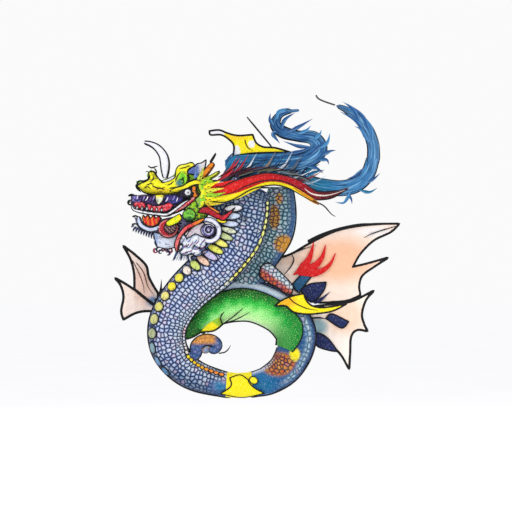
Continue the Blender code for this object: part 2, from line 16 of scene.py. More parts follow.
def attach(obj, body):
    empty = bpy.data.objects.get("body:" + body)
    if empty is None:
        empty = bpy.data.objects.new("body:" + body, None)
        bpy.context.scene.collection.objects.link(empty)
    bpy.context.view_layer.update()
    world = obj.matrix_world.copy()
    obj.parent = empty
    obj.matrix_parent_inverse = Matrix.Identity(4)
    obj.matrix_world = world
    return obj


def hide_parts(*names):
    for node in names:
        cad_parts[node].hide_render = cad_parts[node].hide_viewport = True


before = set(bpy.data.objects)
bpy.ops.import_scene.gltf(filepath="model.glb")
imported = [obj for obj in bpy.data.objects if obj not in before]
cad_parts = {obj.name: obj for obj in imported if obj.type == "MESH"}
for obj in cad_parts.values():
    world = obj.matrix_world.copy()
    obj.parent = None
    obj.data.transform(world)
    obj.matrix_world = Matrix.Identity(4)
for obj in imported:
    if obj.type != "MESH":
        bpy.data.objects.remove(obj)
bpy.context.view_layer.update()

# ---------------------------------------------------------------- depths, as y
SAIL_Y = -26
RIM_Y = -84            # middle of the ring, the saddle and the rear neck
PLUME_Y = -120         # middle of the plume
TAIL_Y = -95           # middle of the tail
MANE_Y = -78           # back of the padded ground of the mane
THROAT_Y = -182        # back of the cloth of the throat
BELLY_TIP_Y = -112     # middle of the yellow tip of the belly
FIN_Y = -119           # back of the dorsal fin
HIP_Y = -126           # back of the fin at the hip
BANNER_LINES_Y = -229  # black lines on the streamers
MANE_LINES_Y = -196    # black lines over the mane
RAYS_Y = (-235, -239)  # the collar's rays, at their root and tip
HEAD_Y = -166          # middle of the head and of the front neck
SKULL_HALF = 47
MUZZLE_HALF = 33
JAW_HALF = 34
SEW = 1.0              # how far a sewn layer stands off the cloth under it


# ---------------------------------------------------------------- colours
def rgb(red, green, blue):
    """A colour of 0 to 255 as the eye reads it, in the linear numbers that materials use."""
    parts = np.array([red, green, blue]) / 255
    return np.where(parts <= 0.04045, parts / 12.92, ((parts + 0.055) / 1.055) ** 2.4)


INK = rgb(8, 8, 12)
NAVY = rgb(24, 34, 84)
DENIM = rgb(44, 84, 140)
BLUE = rgb(50, 98, 184)
TEAL = rgb(14, 112, 132)
ICE = rgb(206, 216, 242)
WHITE = rgb(240, 241, 246)
YELLOW = rgb(252, 234, 14)
LEMON = rgb(244, 238, 110)
LIME = rgb(156, 214, 36)
GREEN = rgb(22, 150, 44)
FOREST = rgb(2, 74, 30)
ORANGE = rgb(240, 136, 30)
OCHRE = rgb(206, 140, 44)
RED = rgb(218, 20, 22)
CRIMSON = rgb(176, 14, 36)
MAROON = rgb(92, 10, 28)
PINK = rgb(240, 190, 200)
CREAM = rgb(253, 238, 224)
PEACH = rgb(250, 208, 180)


def ramp(t, *stops):
    """The colour at each t, between stops (t, colour)."""
    places = [place for place, _ in stops]
    return np.stack([np.interp(t, places, [c[k] for _, c in stops]) for k in range(3)], axis=-1)


def mixed(first, second, share):
    """Two colours mixed at each point, share of the second."""
    share = np.asarray(share)[..., None]
    return first * (1 - share) + second * share


def step_up(value, low, high):
    """0 below low, 1 above high, and a smooth rise between."""
    t = np.clip((value - low) / (high - low), 0, 1)
    return t * t * (3 - 2 * t)


def near(x, z, at, reach):
    """1 at a point of the picture plane, falling to 0 at reach (across, up) from it."""
    far = np.hypot((x - at[0]) / reach[0], (z - at[1]) / reach[1])
    return 1 - step_up(far, 0.35, 1.0)


def mottle(x, z, size, seed=0.0):
    """A smooth irregular number from -1 to 1, in patches of about this size."""
    total = np.zeros(np.shape(x))
    for k in range(5):
        turn = 1.9 * k + seed
        wave = math.tau / size * (0.6 + 0.31 * k)
        total += np.sin(wave * (x * math.cos(turn) + z * math.sin(turn)) + 2.3 * k + 3.1 * seed)
    return total / 3.2


# ---------------------------------------------------------------- lines and outlines
def curve(points, step=3.0, flat=True):
    """Points every step along a smooth curve through the given ones.

    flat measures the steps by the first two columns only.
    """
    p = np.array(points, float)
    p = np.vstack([2 * p[0] - p[1], p, 2 * p[-1] - p[-2]])
    t = np.linspace(0, 1, 24, endpoint=False)[:, None]
    parts = []
    for a, b, c, d in zip(p, p[1:], p[2:], p[3:]):
        parts.append(0.5 * (2 * b + (c - a) * t + (2 * a - 5 * b + 4 * c - d) * t**2
                            + (3 * b - a - 3 * c + d) * t**3))
    fine = np.vstack([*parts, p[-2:-1]])
    measured = fine[:, :2] if flat else fine
    run = np.concatenate([[0], np.linalg.norm(np.diff(measured, axis=0), axis=1).cumsum()])
    places = np.linspace(0, run[-1], max(2, round(run[-1] / step) + 1))
    return np.stack([np.interp(places, run, column) for column in fine.T], axis=1)


def outline(*runs, step=3.0):
    """A closed outline. Each run is a smooth stretch that ends at a corner, where the next one starts."""
    last = runs[-1][-1]
    parts = []
    for run in runs:
        parts.append(curve([last, *run], step)[:-1])
        last = run[-1]
    return np.vstack(parts)


def blob(middle, half, tilt=0.0, step=3.0):
    """A closed ellipse, half (along, across), turned by tilt."""
    count = max(10, round(math.pi * (half[0] + half[1]) / step))
    t = np.arange(count) / count * math.tau
    turn = math.radians(tilt)
    along, across = half[0] * np.cos(t), half[1] * np.sin(t)
    x = middle[0] + along * math.cos(turn) - across * math.sin(turn)
    z = middle[1] + along * math.sin(turn) + across * math.cos(turn)
    return np.stack([x, z], axis=1)


def band(line, width, step=3.0, taper=(1.0, 1.0)):
    """The closed outline of a stripe along a line. taper is its share of the width at each end."""
    middle = curve(line, step)
    along = np.gradient(middle, axis=0)
    along /= np.linalg.norm(along, axis=1)[:, None]
    side = np.stack([along[:, 1], -along[:, 0]], axis=1)
    t = np.linspace(0, 1, len(middle))
    share = np.minimum(1, taper[0] + 4 * t) * np.minimum(1, taper[1] + 4 * (1 - t))
    half = (width / 2 * share)[:, None]
    return np.vstack([middle + side * half, (middle - side * half)[::-1]])


def inside_distance(x, z, loop):
    """How far each point is inside a closed outline, and 0 outside it."""
    points = np.stack([np.ravel(x), np.ravel(z)], axis=1)
    start, end = loop, np.roll(loop, -1, axis=0)
    edge = end - start
    length2 = np.maximum((edge**2).sum(axis=1), 1e-9)
    found = np.zeros(len(points))
    for low in range(0, len(points), 4000):
        p = points[low : low + 4000, None, :]
        share = np.clip(((p - start) * edge).sum(axis=2) / length2, 0, 1)
        away = np.linalg.norm(p - start - share[..., None] * edge, axis=2).min(axis=1)
        px, pz = p[..., 0], p[..., 1]
        spans = (start[:, 1] > pz) != (end[:, 1] > pz)
        rise = np.where(np.abs(edge[:, 1]) < 1e-9, 1e-9, edge[:, 1])
        crossing = start[:, 0] + (pz - start[:, 1]) / rise * edge[:, 0]
        within = (spans & (px < crossing)).sum(axis=1) % 2 == 1
        found[low : low + 4000] = np.where(within, away, 0)
    return found.reshape(np.shape(x))


def dome(distance, width):
    """The height of a stuffed edge as a share, 0 at the seam and 1 from width inward."""
    t = np.clip(distance / width, 0, 1)
    return np.sqrt(1 - (1 - t) ** 2)


# ---------------------------------------------------------------- shapes
class Shape:
    """Points in the row frame, faces, flow on the flat cloth and a colour with its pattern share."""

    def __init__(self, points, faces, flow):
        self.points = np.asarray(points, float)
        self.faces = faces
        self.flow = np.asarray(flow, float)
        self.tint = np.ones((len(self.points), 4))

    @property
    def x(self):
        return self.points[:, 0]

    @property
    def z(self):
        return self.points[:, 2]

    def paint(self, colour, pattern=0.0):
        """Sets the colour, one or one for each point, and how much of the material's pattern shows."""
        self.tint[:, :3] = np.clip(colour, 0, 1)
        self.tint[:, 3] = pattern
        return self


def joined(shapes):
    """Several shapes as one."""
    offset, faces = 0, []
    for shape in shapes:
        faces += [group + offset for group in shape.faces]
        offset += len(shape.points)
    made = Shape(
        np.vstack([s.points for s in shapes]), faces, np.vstack([s.flow for s in shapes])
    )
    made.tint = np.vstack([s.tint for s in shapes])
    return made


def grid_faces(rows, columns):
    """Quads over a grid of points, row after row."""
    corner = (np.arange(rows - 1)[:, None] * columns + np.arange(columns - 1)).ravel()
    return np.stack([corner, corner + 1, corner + columns + 1, corner + columns], axis=1)


def side_of(line):
    """The direction in the picture plane at right angles to a line, on its outer side, at each point."""
    along = np.gradient(line[:, :2], axis=0)
    along /= np.maximum(np.linalg.norm(along, axis=1), 1e-9)[:, None]
    return np.stack([along[:, 1], -along[:, 0]], axis=1)


class Sleeve:
    """A stuffed tube through stations (x, z, half width, y, half depth).

    Angle 0 is its outer side and angle 90 its front.
    """

    def __init__(self, stations, step=3.0):
        self.line = curve(stations, step)
        self.side = side_of(self.line)
        gaps = np.linalg.norm(np.diff(self.line[:, :2], axis=0), axis=1)
        self.run = np.concatenate([[0], gaps.cumsum()])
        self.length = self.run[-1]

    def girth(self, run):
        """Millimetres of cloth round the sleeve for one radian."""
        half = np.interp(run, self.run, self.line[:, 2])
        depth = np.interp(run, self.run, self.line[:, 4])
        return np.sqrt((half**2 + depth**2) / 2)

    def place(self, run, angle, lift=0.0):
        """Points at a distance along the sleeve, an angle round it and a height above it."""
        x, z, half, y, depth = (np.interp(run, self.run, column) for column in self.line.T)
        side_x, side_z = (np.interp(run, self.run, column) for column in self.side.T)
        turn = np.radians(angle)
        reach = (half + lift) * np.cos(turn)
        return np.stack([x + side_x * reach, y - (depth + lift) * np.sin(turn), z + side_z * reach],
                        axis=-1)

    def skin(self, around=3.5, swell=None, closed=(False, False)):
        """The sleeve's cloth. swell(run, angle) adds to its radius. Closed ends come to a point."""
        widest = self.girth(self.run).max()
        columns = max(9, round(math.tau * widest / around) + 1)
        run, angle = np.meshgrid(self.run, np.linspace(-90, 270, columns), indexing="ij")
        lift = swell(run, angle) if swell else 0.0
        points = self.place(run, angle, lift)
        flow = np.stack([run, np.radians(angle - 90) * self.girth(run), run * 0], axis=-1)
        for end, row in ((0, 0), (1, -1)):
            if closed[end]:
                points[row] = points[row].mean(axis=0)
        made = Shape(points.reshape(-1, 3), [grid_faces(*run.shape)], flow.reshape(-1, 3))
        made.run, made.angle = run.ravel(), angle.ravel()
        return made


def at_y(y, stations):
    """Sleeve stations (x, z, half width, half depth) that all lie at depth y."""
    return [(x, z, half, y, depth) for x, z, half, depth in stations]


def strand(points, width, y, tips=(0.3, 0.0), depth=0.5, step=5.0):
    """A tapered lock of cloth along points (x, z). y is its depth, or its depth at each end."""
    line = curve(points, step)
    t = np.linspace(0, 1, len(line))
    share = np.interp(t, [0, 0.35, 1], [tips[0], 1, tips[1]])
    half = np.maximum(width / 2 * share, 0.6)
    depths = np.linspace(*np.broadcast_to(y, 2), len(line))
    stations = np.column_stack([line, half, depths, half * depth])
    return Sleeve(stations, step).skin(3.0, closed=(True, True))


def tube(path, radius, closed=False, flat=1.0, sides=7):
    """A cord along points (x, y, z). radius is one number or one for each point, and flat thins it in y."""
    path = np.asarray(path, float)
    if closed:
        path = np.vstack([path, path[:1]])
        along = np.roll(path[:-1], -1, axis=0) - np.roll(path[:-1], 1, axis=0)
        along = np.vstack([along, along[:1]])
    else:
        along = np.gradient(path, axis=0)
    along /= np.maximum(np.linalg.norm(along, axis=1), 1e-9)[:, None]
    depth = np.array([0.0, 1.0, 0.0]) - along[:, 1:2] * along
    depth /= np.maximum(np.linalg.norm(depth, axis=1), 1e-6)[:, None]
    across = np.cross(along, depth)
    turn = np.linspace(0, math.tau, sides + 1)[None, :, None]
    size = np.broadcast_to(np.asarray(radius, float), len(path))[:, None, None]
    ring = across[:, None] * np.cos(turn) + depth[:, None] * np.sin(turn) * flat
    points = path[:, None] + ring * size
    if not closed:
        points[0], points[-1] = path[0], path[-1]
    gaps = np.linalg.norm(np.diff(path, axis=0), axis=1)
    run = np.concatenate([[0], gaps.cumsum()])
    flow = np.zeros(points.shape)
    flow[..., 0] = run[:, None]
    flow[..., 1] = turn[..., 0] * size[..., 0]
    faces = grid_faces(len(path), sides + 1)[:, ::-1]
    return Shape(points.reshape(-1, 3), [faces], flow.reshape(-1, 3)).paint(INK)


def filled(loop, step):
    """The points of an outline and of a grid inside it, and the triangles over them."""
    low, high = loop.min(axis=0), loop.max(axis=0)
    grid = []
    for i, v in enumerate(np.arange(low[1], high[1], step * 0.87)):
        u = np.arange(low[0] + step / 2 * (i % 2), high[0], step)
        grid.append(np.column_stack([u, np.full(len(u), v)]))
    grid = np.vstack(grid)
    grid = grid[inside_distance(grid[:, 0], grid[:, 1], loop) > 0.5 * step]
    points = np.vstack([loop, grid])
    count = len(loop)
    ring = [(i, (i + 1) % count) for i in range(count)]
    found = delaunay_2d_cdt([Vector(p) for p in points], ring, [], 1, 1e-5)
    return np.array([tuple(p) for p in found[0]]), np.array([tuple(f) for f in found[2]])


def border(triangles):
    """The edges that only one triangle has, in that triangle's direction."""
    ends = np.concatenate([triangles[:, [0, 1]], triangles[:, [1, 2]], triangles[:, [2, 0]]])
    _, index, count = np.unique(np.sort(ends, axis=1), axis=0, return_inverse=True, return_counts=True)
    return ends[count[index.ravel()] == 1]


def raised(rise, width, lift=0.0):
    """The top of a padded piece, for patch."""
    return lambda u, v, distance: lift + rise * dome(distance, width)


def level(height):
    """A flat top or bottom, for patch."""
    return lambda u, v, distance: height + 0 * distance


def patch(loop, place, top, bottom, step=4.0):
    """A closed piece over an outline. place(u, v, height) is a point, and top and bottom give the height
    from u, v and the distance inside the outline."""
    flat, triangles = filled(loop, step)
    u, v = flat.T
    distance = inside_distance(u, v, loop)
    upper, lower = place(u, v, top(u, v, distance)), place(u, v, bottom(u, v, distance))
    count = len(flat)
    rim = border(triangles)
    walls = np.stack([rim[:, 0], rim[:, 0] + count, rim[:, 1] + count, rim[:, 1]], axis=1)
    flow = np.column_stack([u, v, u * 0])
    made = Shape(np.vstack([upper, lower]), [triangles, triangles[:, ::-1] + count, walls],
                 np.vstack([flow, flow]))
    made.u, made.v = np.tile(u, 2), np.tile(v, 2)
    made.distance = np.tile(distance, 2)
    made.upper = np.arange(2 * count) < count
    return made


def show(name, shape, look, body, stands_for=()):
    """Makes the shape an object in one of LOOKS, which rides on a CAD body and stands for CAD nodes."""
    mesh = bpy.data.meshes.new(name)
    mesh.vertices.add(len(shape.points))
    mesh.vertices.foreach_set("co", (shape.points * 0.001).astype(np.float32).ravel())
    sizes = np.concatenate([np.full(len(group), group.shape[1]) for group in shape.faces])
    corners = np.concatenate([group.ravel() for group in shape.faces])
    mesh.loops.add(len(corners))
    mesh.loops.foreach_set("vertex_index", corners.astype(np.int32))
    mesh.polygons.add(len(sizes))
    mesh.polygons.foreach_set("loop_start", np.concatenate([[0], sizes.cumsum()[:-1]]).astype(np.int32))
    mesh.update(calc_edges=True)
    mesh.validate()
    mesh.shade_smooth()
    tint = mesh.attributes.new("tint", "FLOAT_COLOR", "POINT")
    tint.data.foreach_set("color", shape.tint.astype(np.float32).ravel())
    flow = mesh.attributes.new("flow", "FLOAT_VECTOR", "POINT")
    flow.data.foreach_set("vector", (shape.flow * 0.001).astype(np.float32).ravel())
    mesh.materials.append(LOOKS[look])
    made = bpy.data.objects.new(name, mesh)
    bpy.context.scene.collection.objects.link(made)
    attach(made, body)
    if stands_for:
        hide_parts(*stands_for)
    return made


# ---------------------------------------------------------------- materials
def node(tree, kind, settings=None, inputs=None):
    """A shader node, with its settings, and its inputs linked or set."""
    made = tree.nodes.new(kind)
    for key, value in (settings or {}).items():
        setattr(made, key, value)
    for key, value in (inputs or {}).items():
        if isinstance(value, bpy.types.NodeSocket):
            tree.links.new(value, made.inputs[key])
        else:
            made.inputs[key].default_value = value
    return made


def maths(tree, operation, a, b=0.5):
    """The number that a Math node gives."""
    return node(tree, "ShaderNodeMath", {"operation": operation}, {0: a, 1: b}).outputs[0]


def span(tree, value, low, high, to_low=0.0, to_high=1.0):
    """Maps low..high smoothly to to_low..to_high."""
    inputs = {"Value": value, "From Min": low, "From Max": high, "To Min": to_low, "To Max": to_high}
    return node(tree, "ShaderNodeMapRange", {"interpolation_type": "SMOOTHSTEP"}, inputs).outputs[0]


def mix(tree, share, first, second, kind="MIX"):
    """Two colours mixed, share of the second."""
    first = (*first, 1.0) if isinstance(first, np.ndarray) else first
    second = (*second, 1.0) if isinstance(second, np.ndarray) else second
    settings = {"data_type": "RGBA", "blend_type": kind}
    return node(tree, "ShaderNodeMix", settings, {0: share, 6: first, 7: second}).outputs[2]


def stretched(tree, vector, scale):
    """A vector with each part scaled."""
    return node(tree, "ShaderNodeMapping", None, {"Vector": vector, "Scale": scale}).outputs[0]


def noise(tree, vector, scale, detail=3.0):
    """A noise texture's value."""
    return node(tree, "ShaderNodeTexNoise", None,
                {"Vector": vector, "Scale": scale, "Detail": detail}).outputs[0]


def new_look(name):
    """A new material, its node tree, its shader and the two attributes that the cloth carries."""
    look = bpy.data.materials.new(name)
    look.use_nodes = True
    tree = look.node_tree
    tint = node(tree, "ShaderNodeAttribute", {"attribute_name": "tint"})
    flow = node(tree, "ShaderNodeAttribute", {"attribute_name": "flow"}).outputs["Vector"]
    shader = tree.nodes["Principled BSDF"]
    shader.inputs["Specular IOR Level"].default_value = 0.15
    return look, tree, shader, tint, flow


def bumped(tree, shader, heights):
    """Links (height, strength, distance in metres) bumps to the shader, one after another."""
    normal = None
    for height, strength, distance in heights:
        inputs = {"Height": height, "Strength": strength, "Distance": distance}
        if normal:
            inputs["Normal"] = normal
        normal = node(tree, "ShaderNodeBump", None, inputs).outputs[0]
    tree.links.new(normal, shader.inputs["Normal"])


def weave(tree, flow):
    """A plain weave's height, from two sets of threads."""
    threads = []
    for direction in ("X", "Y"):
        settings = {"wave_type": "BANDS", "bands_direction": direction}
        inputs = {"Vector": flow, "Scale": 260.0, "Distortion": 0.6, "Detail": 1.0}
        threads.append(node(tree, "ShaderNodeTexWave", settings, inputs).outputs[1])
    return maths(tree, "MAXIMUM", threads[0], threads[1])


def pencilled(tree, flow, colour, amount):
    """Hand dyeing: fine grain and short strokes that lighten and darken a colour."""
    strokes = noise(tree, stretched(tree, flow, (420.0, 90.0, 1.0)), 1.0, 4.0)
    grain = noise(tree, flow, 520.0, 3.0)
    dark = maths(tree, "ADD", strokes, grain)
    shade = span(tree, dark, 0.75, 1.25, 1.0 - amount, 1.0)
    colour = mix(tree, 1.0, colour, shade, "MULTIPLY")
    light = span(tree, dark, 1.08, 1.3, 0.0, amount * 0.8)
    return mix(tree, light, colour, WHITE)


def brush_lines(tree, flow):
    """A mask of dark brush lines that wander over the cloth, about 12 mm apart."""
    bend = noise(tree, flow, 30.0, 1.0)
    place = mix(tree, 0.02, flow, bend, "ADD")
    strokes = noise(tree, stretched(tree, place, (24.0, 88.0, 1.0)), 1.0, 1.0)
    line = maths(tree, "MULTIPLY", span(tree, strokes, 0.46, 0.49),
                 span(tree, strokes, 0.51, 0.54, 1.0, 0.0))
    return maths(tree, "MULTIPLY", line, span(tree, noise(tree, flow, 45.0, 1.0), 0.42, 0.52))


def painted_silk(name, amount=0.3, roughness=0.65, sheen=0.03):
    """Stuffed silk with painted colour. The tint's alpha says how strong the dark brush lines on it are."""
    look, tree, shader, tint, flow = new_look(name)
    colour = pencilled(tree, flow, tint.outputs["Color"], amount)
    lines = maths(tree, "MULTIPLY", brush_lines(tree, flow), tint.outputs["Alpha"])
    colour = mix(tree, lines, colour, rgb(30, 26, 30))
    tree.links.new(colour, shader.inputs["Base Color"])
    shader.inputs["Roughness"].default_value = roughness
    shader.inputs["Sheen Weight"].default_value = sheen
    bumped(tree, shader, [(noise(tree, flow, 38.0), 0.35, 0.004), (weave(tree, flow), 0.25, 0.0004)])
    return look


def scale_silk(name, size):
    """Silk quilted into rounded scales with dyed seams and a painted highlight in the middle of each scale.
    The tint's alpha says how strong the scales are.
    """
    look, tree, shader, tint, flow = new_look(name)
    bend = noise(tree, flow, 30.0, 1.0)
    place = mix(tree, 0.006, flow, bend, "ADD")
    cells = {"Vector": place, "Scale": 1.0 / size, "Randomness": 0.62}
    settings = {"voronoi_dimensions": "2D", "feature": "DISTANCE_TO_EDGE"}
    edge = node(tree, "ShaderNodeTexVoronoi", settings, cells).outputs["Distance"]
    cell = node(tree, "ShaderNodeTexVoronoi", {"voronoi_dimensions": "2D", "feature": "F1"}, cells)
    chance = node(tree, "ShaderNodeSeparateColor", None, {0: cell.outputs["Color"]}).outputs[0]
    strong = tint.outputs["Alpha"]
    blue = node(tree, "ShaderNodeSeparateColor", None, {0: tint.outputs["Color"]}).outputs[2]
    # pale is the tint lightened, used both for random paler scales and for the painted highlight
    pale = mix(tree, span(tree, blue, 0.05, 0.6, 0.05, 0.72), tint.outputs["Color"], rgb(240, 248, 250))
    varied = mix(tree, span(tree, chance, 0.45, 1.0, 0.0, 0.7), tint.outputs["Color"], pale)
    varied = mix(tree, span(tree, chance, 0.0, 0.35, 0.5, 0.0), varied,
                 mix(tree, 0.5, tint.outputs["Color"], rgb(10, 70, 120)))
    rosy = span(tree, node(tree, "ShaderNodeSeparateColor", None, {0: cell.outputs["Color"]}).outputs[1],
                0.84, 0.9, 0.0, 0.5)
    varied = mix(tree, rosy, varied, rgb(206, 150, 190))
    # painted highlight: each scale turns paler towards its middle, where its puff stands highest
    varied = mix(tree, span(tree, edge, 0.14, 0.38, 0.0, 0.9), varied, pale)
    varied = mix(tree, strong, tint.outputs["Color"], varied)
    seam = maths(tree, "MULTIPLY", span(tree, edge, 0.06, 0.17, 1.0, 0.0), strong)
    colour = mix(tree, seam, pencilled(tree, flow, varied, 0.4), rgb(10, 30, 62))
    tree.links.new(colour, shader.inputs["Base Color"])
    shader.inputs["Roughness"].default_value = 0.5
    shader.inputs["Sheen Weight"].default_value = 0.03
    puff = maths(tree, "MULTIPLY", span(tree, edge, 0.0, 0.4), strong)
    bumped(tree, shader, [(puff, 0.9, 0.0035), (weave(tree, flow), 0.25, 0.0004)])
    return look


def hair_silk(name):
    """Silk cut and brushed into strands that run along the piece, with painted highlights on the raised
    strands and painted shade between them.
    """
    look, tree, shader, tint, flow = new_look(name)
    strands = noise(tree, stretched(tree, flow, (9.0, 170.0, 1.0)), 1.0, 4.0)
    fine = noise(tree, stretched(tree, flow, (30.0, 700.0, 1.0)), 1.0, 3.0)
    # painted highlight on the raised strands and painted shade in the grooves between them: the colour
    # follows the same noise as the bump
    colour = mix(tree, span(tree, strands, 0.5, 0.66, 0.0, 0.8), tint.outputs["Color"], rgb(130, 186, 224))
    colour = mix(tree, span(tree, strands, 0.32, 0.46, 0.9, 0.0), colour, rgb(10, 26, 62))
    colour = mix(tree, tint.outputs["Alpha"], tint.outputs["Color"], colour)
    # painted shade: the fine grooves are darkened too
    colour = mix(tree, 1.0, colour, span(tree, fine, 0.3, 0.6, 0.6, 1.0), "MULTIPLY")
    tree.links.new(colour, shader.inputs["Base Color"])
    shader.inputs["Roughness"].default_value = 0.55
    shader.inputs["Sheen Weight"].default_value = 0.03
    bumped(tree, shader, [(strands, 0.7, 0.004), (fine, 0.5, 0.001)])
    return look


def belly_silk(name):
    """Dyed silk with a stippled grain, dark dots over a shaded ground."""
    look, tree, shader, tint, flow = new_look(name)
    dots = noise(tree, flow, 330.0, 2.0)
    colour = mix(tree, span(tree, dots, 0.5, 0.66, 0.0, 0.7), tint.outputs["Color"], rgb(0, 60, 16))
    colour = mix(tree, span(tree, dots, 0.3, 0.44, 0.5, 0.0), colour, rgb(220, 250, 150))
    colour = mix(tree, tint.outputs["Alpha"], tint.outputs["Color"], colour)
    tree.links.new(colour, shader.inputs["Base Color"])
    shader.inputs["Roughness"].default_value = 0.5
    shader.inputs["Sheen Weight"].default_value = 0.02
    bumped(tree, shader, [(noise(tree, flow, 40.0), 0.3, 0.003), (dots, 0.3, 0.0006)])
    return look


def cord_look(name):
    """Black binding tape and cord, with the twist of its threads."""
    look, tree, shader, tint, flow = new_look(name)
    settings = {"wave_type": "BANDS", "bands_direction": "DIAGONAL"}
    twist = node(tree, "ShaderNodeTexWave", settings,
                 {"Vector": flow, "Scale": 150.0, "Distortion": 0.5}).outputs[1]
    colour = mix(tree, span(tree, twist, 0.4, 1.0, 0.0, 0.025), tint.outputs["Color"], WHITE)
    tree.links.new(colour, shader.inputs["Base Color"])
    shader.inputs["Roughness"].default_value = 0.75
    bumped(tree, shader, [(twist, 0.5, 0.0006), (noise(tree, flow, 900.0), 0.3, 0.0003)])
    return look


def surface_look(name, base, other, roughness, metallic=0.0, pattern="grain", scale=300.0):
    """A hard material: carbon tow, split cane, moulded plastic or steel wire."""
    look = bpy.data.materials.new(name)
    look.use_nodes = True
    tree = look.node_tree
    shader = tree.nodes["Principled BSDF"]
    place = node(tree, "ShaderNodeTexCoord").outputs["Object"]
    if pattern == "tow":
        settings = {"wave_type": "BANDS", "bands_direction": "DIAGONAL"}
        height = node(tree, "ShaderNodeTexWave", settings,
                      {"Vector": place, "Scale": scale, "Distortion": 0.8}).outputs[1]
    elif pattern == "cane":
        height = noise(tree, stretched(tree, place, (60.0, 700.0, 60.0)), 1.0, 5.0)
    else:
        height = noise(tree, place, scale, 4.0)
    tree.links.new(mix(tree, span(tree, height, 0.35, 0.7), base, other), shader.inputs["Base Color"])
    shader.inputs["Metallic"].default_value = metallic
    rough = span(tree, height, 0.2, 0.8, roughness - 0.08, roughness + 0.08)
    tree.links.new(rough, shader.inputs["Roughness"])
    bumped(tree, shader, [(height, 0.35, 0.0004)])
    return look


LOOKS = {
    "silk": painted_silk("painted silk"),
    "sail": painted_silk("sail silk", amount=0.1, roughness=0.7, sheen=0.05),
    "scales": scale_silk("quilted scales", 0.0138),
    "hair": hair_silk("brushed silk hair"),
    "belly": belly_silk("stippled silk"),
    "cord": cord_look("black binding"),
    "carbon": surface_look("carbon tow", rgb(26, 26, 30), rgb(52, 54, 60), 0.38, pattern="tow"),
    "cane": surface_look("split cane", rgb(208, 168, 106), rgb(150, 108, 58), 0.6, pattern="cane"),
    "moulded": surface_look("moulded plastic", rgb(38, 38, 44), rgb(50, 50, 56), 0.5),
    "steel": surface_look("steel wire", rgb(176, 178, 182), rgb(140, 142, 148), 0.3, metallic=1.0),
}


# ---------------------------------------------------------------- routes of the stuffed body
COIL = [
    (-8, 414, 66, -166, 28), (-26, 376, 80, -166, 40), (-38, 300, 87, -166, 48), (-62, 225, 85, -166, 50),
    (-132, 135, 80, -166, 50), (-240, 35, 70, -150, 50), (-300, -60, 66, -130, 48),
    (-305, -145, 62, -112, 45), (-268, -212, 56, -98, 42), (-205, -258, 50, -88, 38),
    (-110, -286, 42, -84, 34), (-86, -287.8, 42, -84, 34),
]
SADDLE = at_y(RIM_Y, [(-101, -287.3, 44, 36), (-55, -290, 43, 36), (-9, -286.2, 44, 36)])
RING = at_y(RIM_Y, [
    (-18, -287, 42, 34), (0, -285, 42, 34), (50, -270, 48, 36), (105, -230, 55, 38), (140, -165, 62, 38),
    (143, -100, 67, 38), (95, -38, 68, 38), (10, 5, 69, 38), (-65, 12, 70, 38), (-140, -12, 62, 36),
    (-188, -60, 46, 32), (-205, -104, 26, 24),
])
REAR_NECK = at_y(RIM_Y, [
    (88, 408, 36, 22), (88, 386, 46, 26), (90, 310, 52, 28), (80, 245, 52, 28), (52, 185, 46, 28),
    (22, 137, 42, 27), (-6, 96, 44, 26), (-40, 56, 40, 26),
])
TAIL_CURL = [
    (-240, -192, 14, -100, 10), (-210, -180, 18, -110, 13), (-203, -150, 21, -116, 15),
    (-182, -131, 19, -120, 14), (-152, -130, 18, -122, 14), (-132, -146, 16, -122, 13),
    (-142, -163, 13, -122, 11), (-160, -160, 9, -122, 8),
]
GREEN_START, GREEN_END = 205, 780


# ---------------------------------------------------------------- black lines
OUTLINES = {}          # black cords waiting to be joined, by body


def ink(body, shape):
    """Keeps a black cord until all of its body's cords are joined."""
    OUTLINES.setdefault(body, []).append(shape)


def at_depth(line, y):
    """Points (x, z) of the picture plane at depth y, a number or y(x, z)."""
    depth = y(line[:, 0], line[:, 1]) if callable(y) else np.full(len(line), float(y))
    return np.column_stack([line[:, 0], depth, line[:, 1]])


def pen_share(count, tips):
    """The share of its width that a pen stroke has along it, thinner at its tips."""
    return np.interp(np.linspace(0, 1, count), [0, 0.3, 0.6, 1], [tips[0], 1, 1, tips[1]])


def ink_line(body, points, width, y, tips=(1.0, 0.15), flat=0.8, colour=INK):
    """A black cord along points (x, z) at depth y. tips is its share of the width at each end."""
    line = curve(points, 3.0)
    radius = np.maximum(width / 2 * pen_share(len(line), tips), 0.5)
    ink(body, tube(at_depth(line, y), radius, flat=flat).paint(colour))


def ink_loop(body, loop, width, y, flat=0.8):
    """A black cord round an outline at depth y."""
    ink(body, tube(at_depth(loop, y), width / 2, closed=True, flat=flat))


def ink_along(body, sleeve, angle, width, start=0.0, end=1.0, lift=1.0):
    """A cord along a sleeve, at an angle round it, between two shares of its length."""
    run = np.arange(start * sleeve.length, end * sleeve.length, 4.0)
    ink(body, tube(sleeve.place(run, angle, lift), width / 2))


def show_outlines():
    """Joins and shows each body's black cords."""
    for body, shapes in OUTLINES.items():
        show(f"binding_{body}", joined(shapes), "cord", body)


# ---------------------------------------------------------------- the body
def quilt(period, depth, seed=0.0):
    """A swell for a sleeve: soft rolls at each sewn round, and a little unevenness."""
    def swell(run, angle):
        rolls = np.abs(np.sin(math.pi * run / period)) ** 0.5 * depth
        return rolls + 0.9 * mottle(run, angle, 90, seed) - depth / 2
    return swell


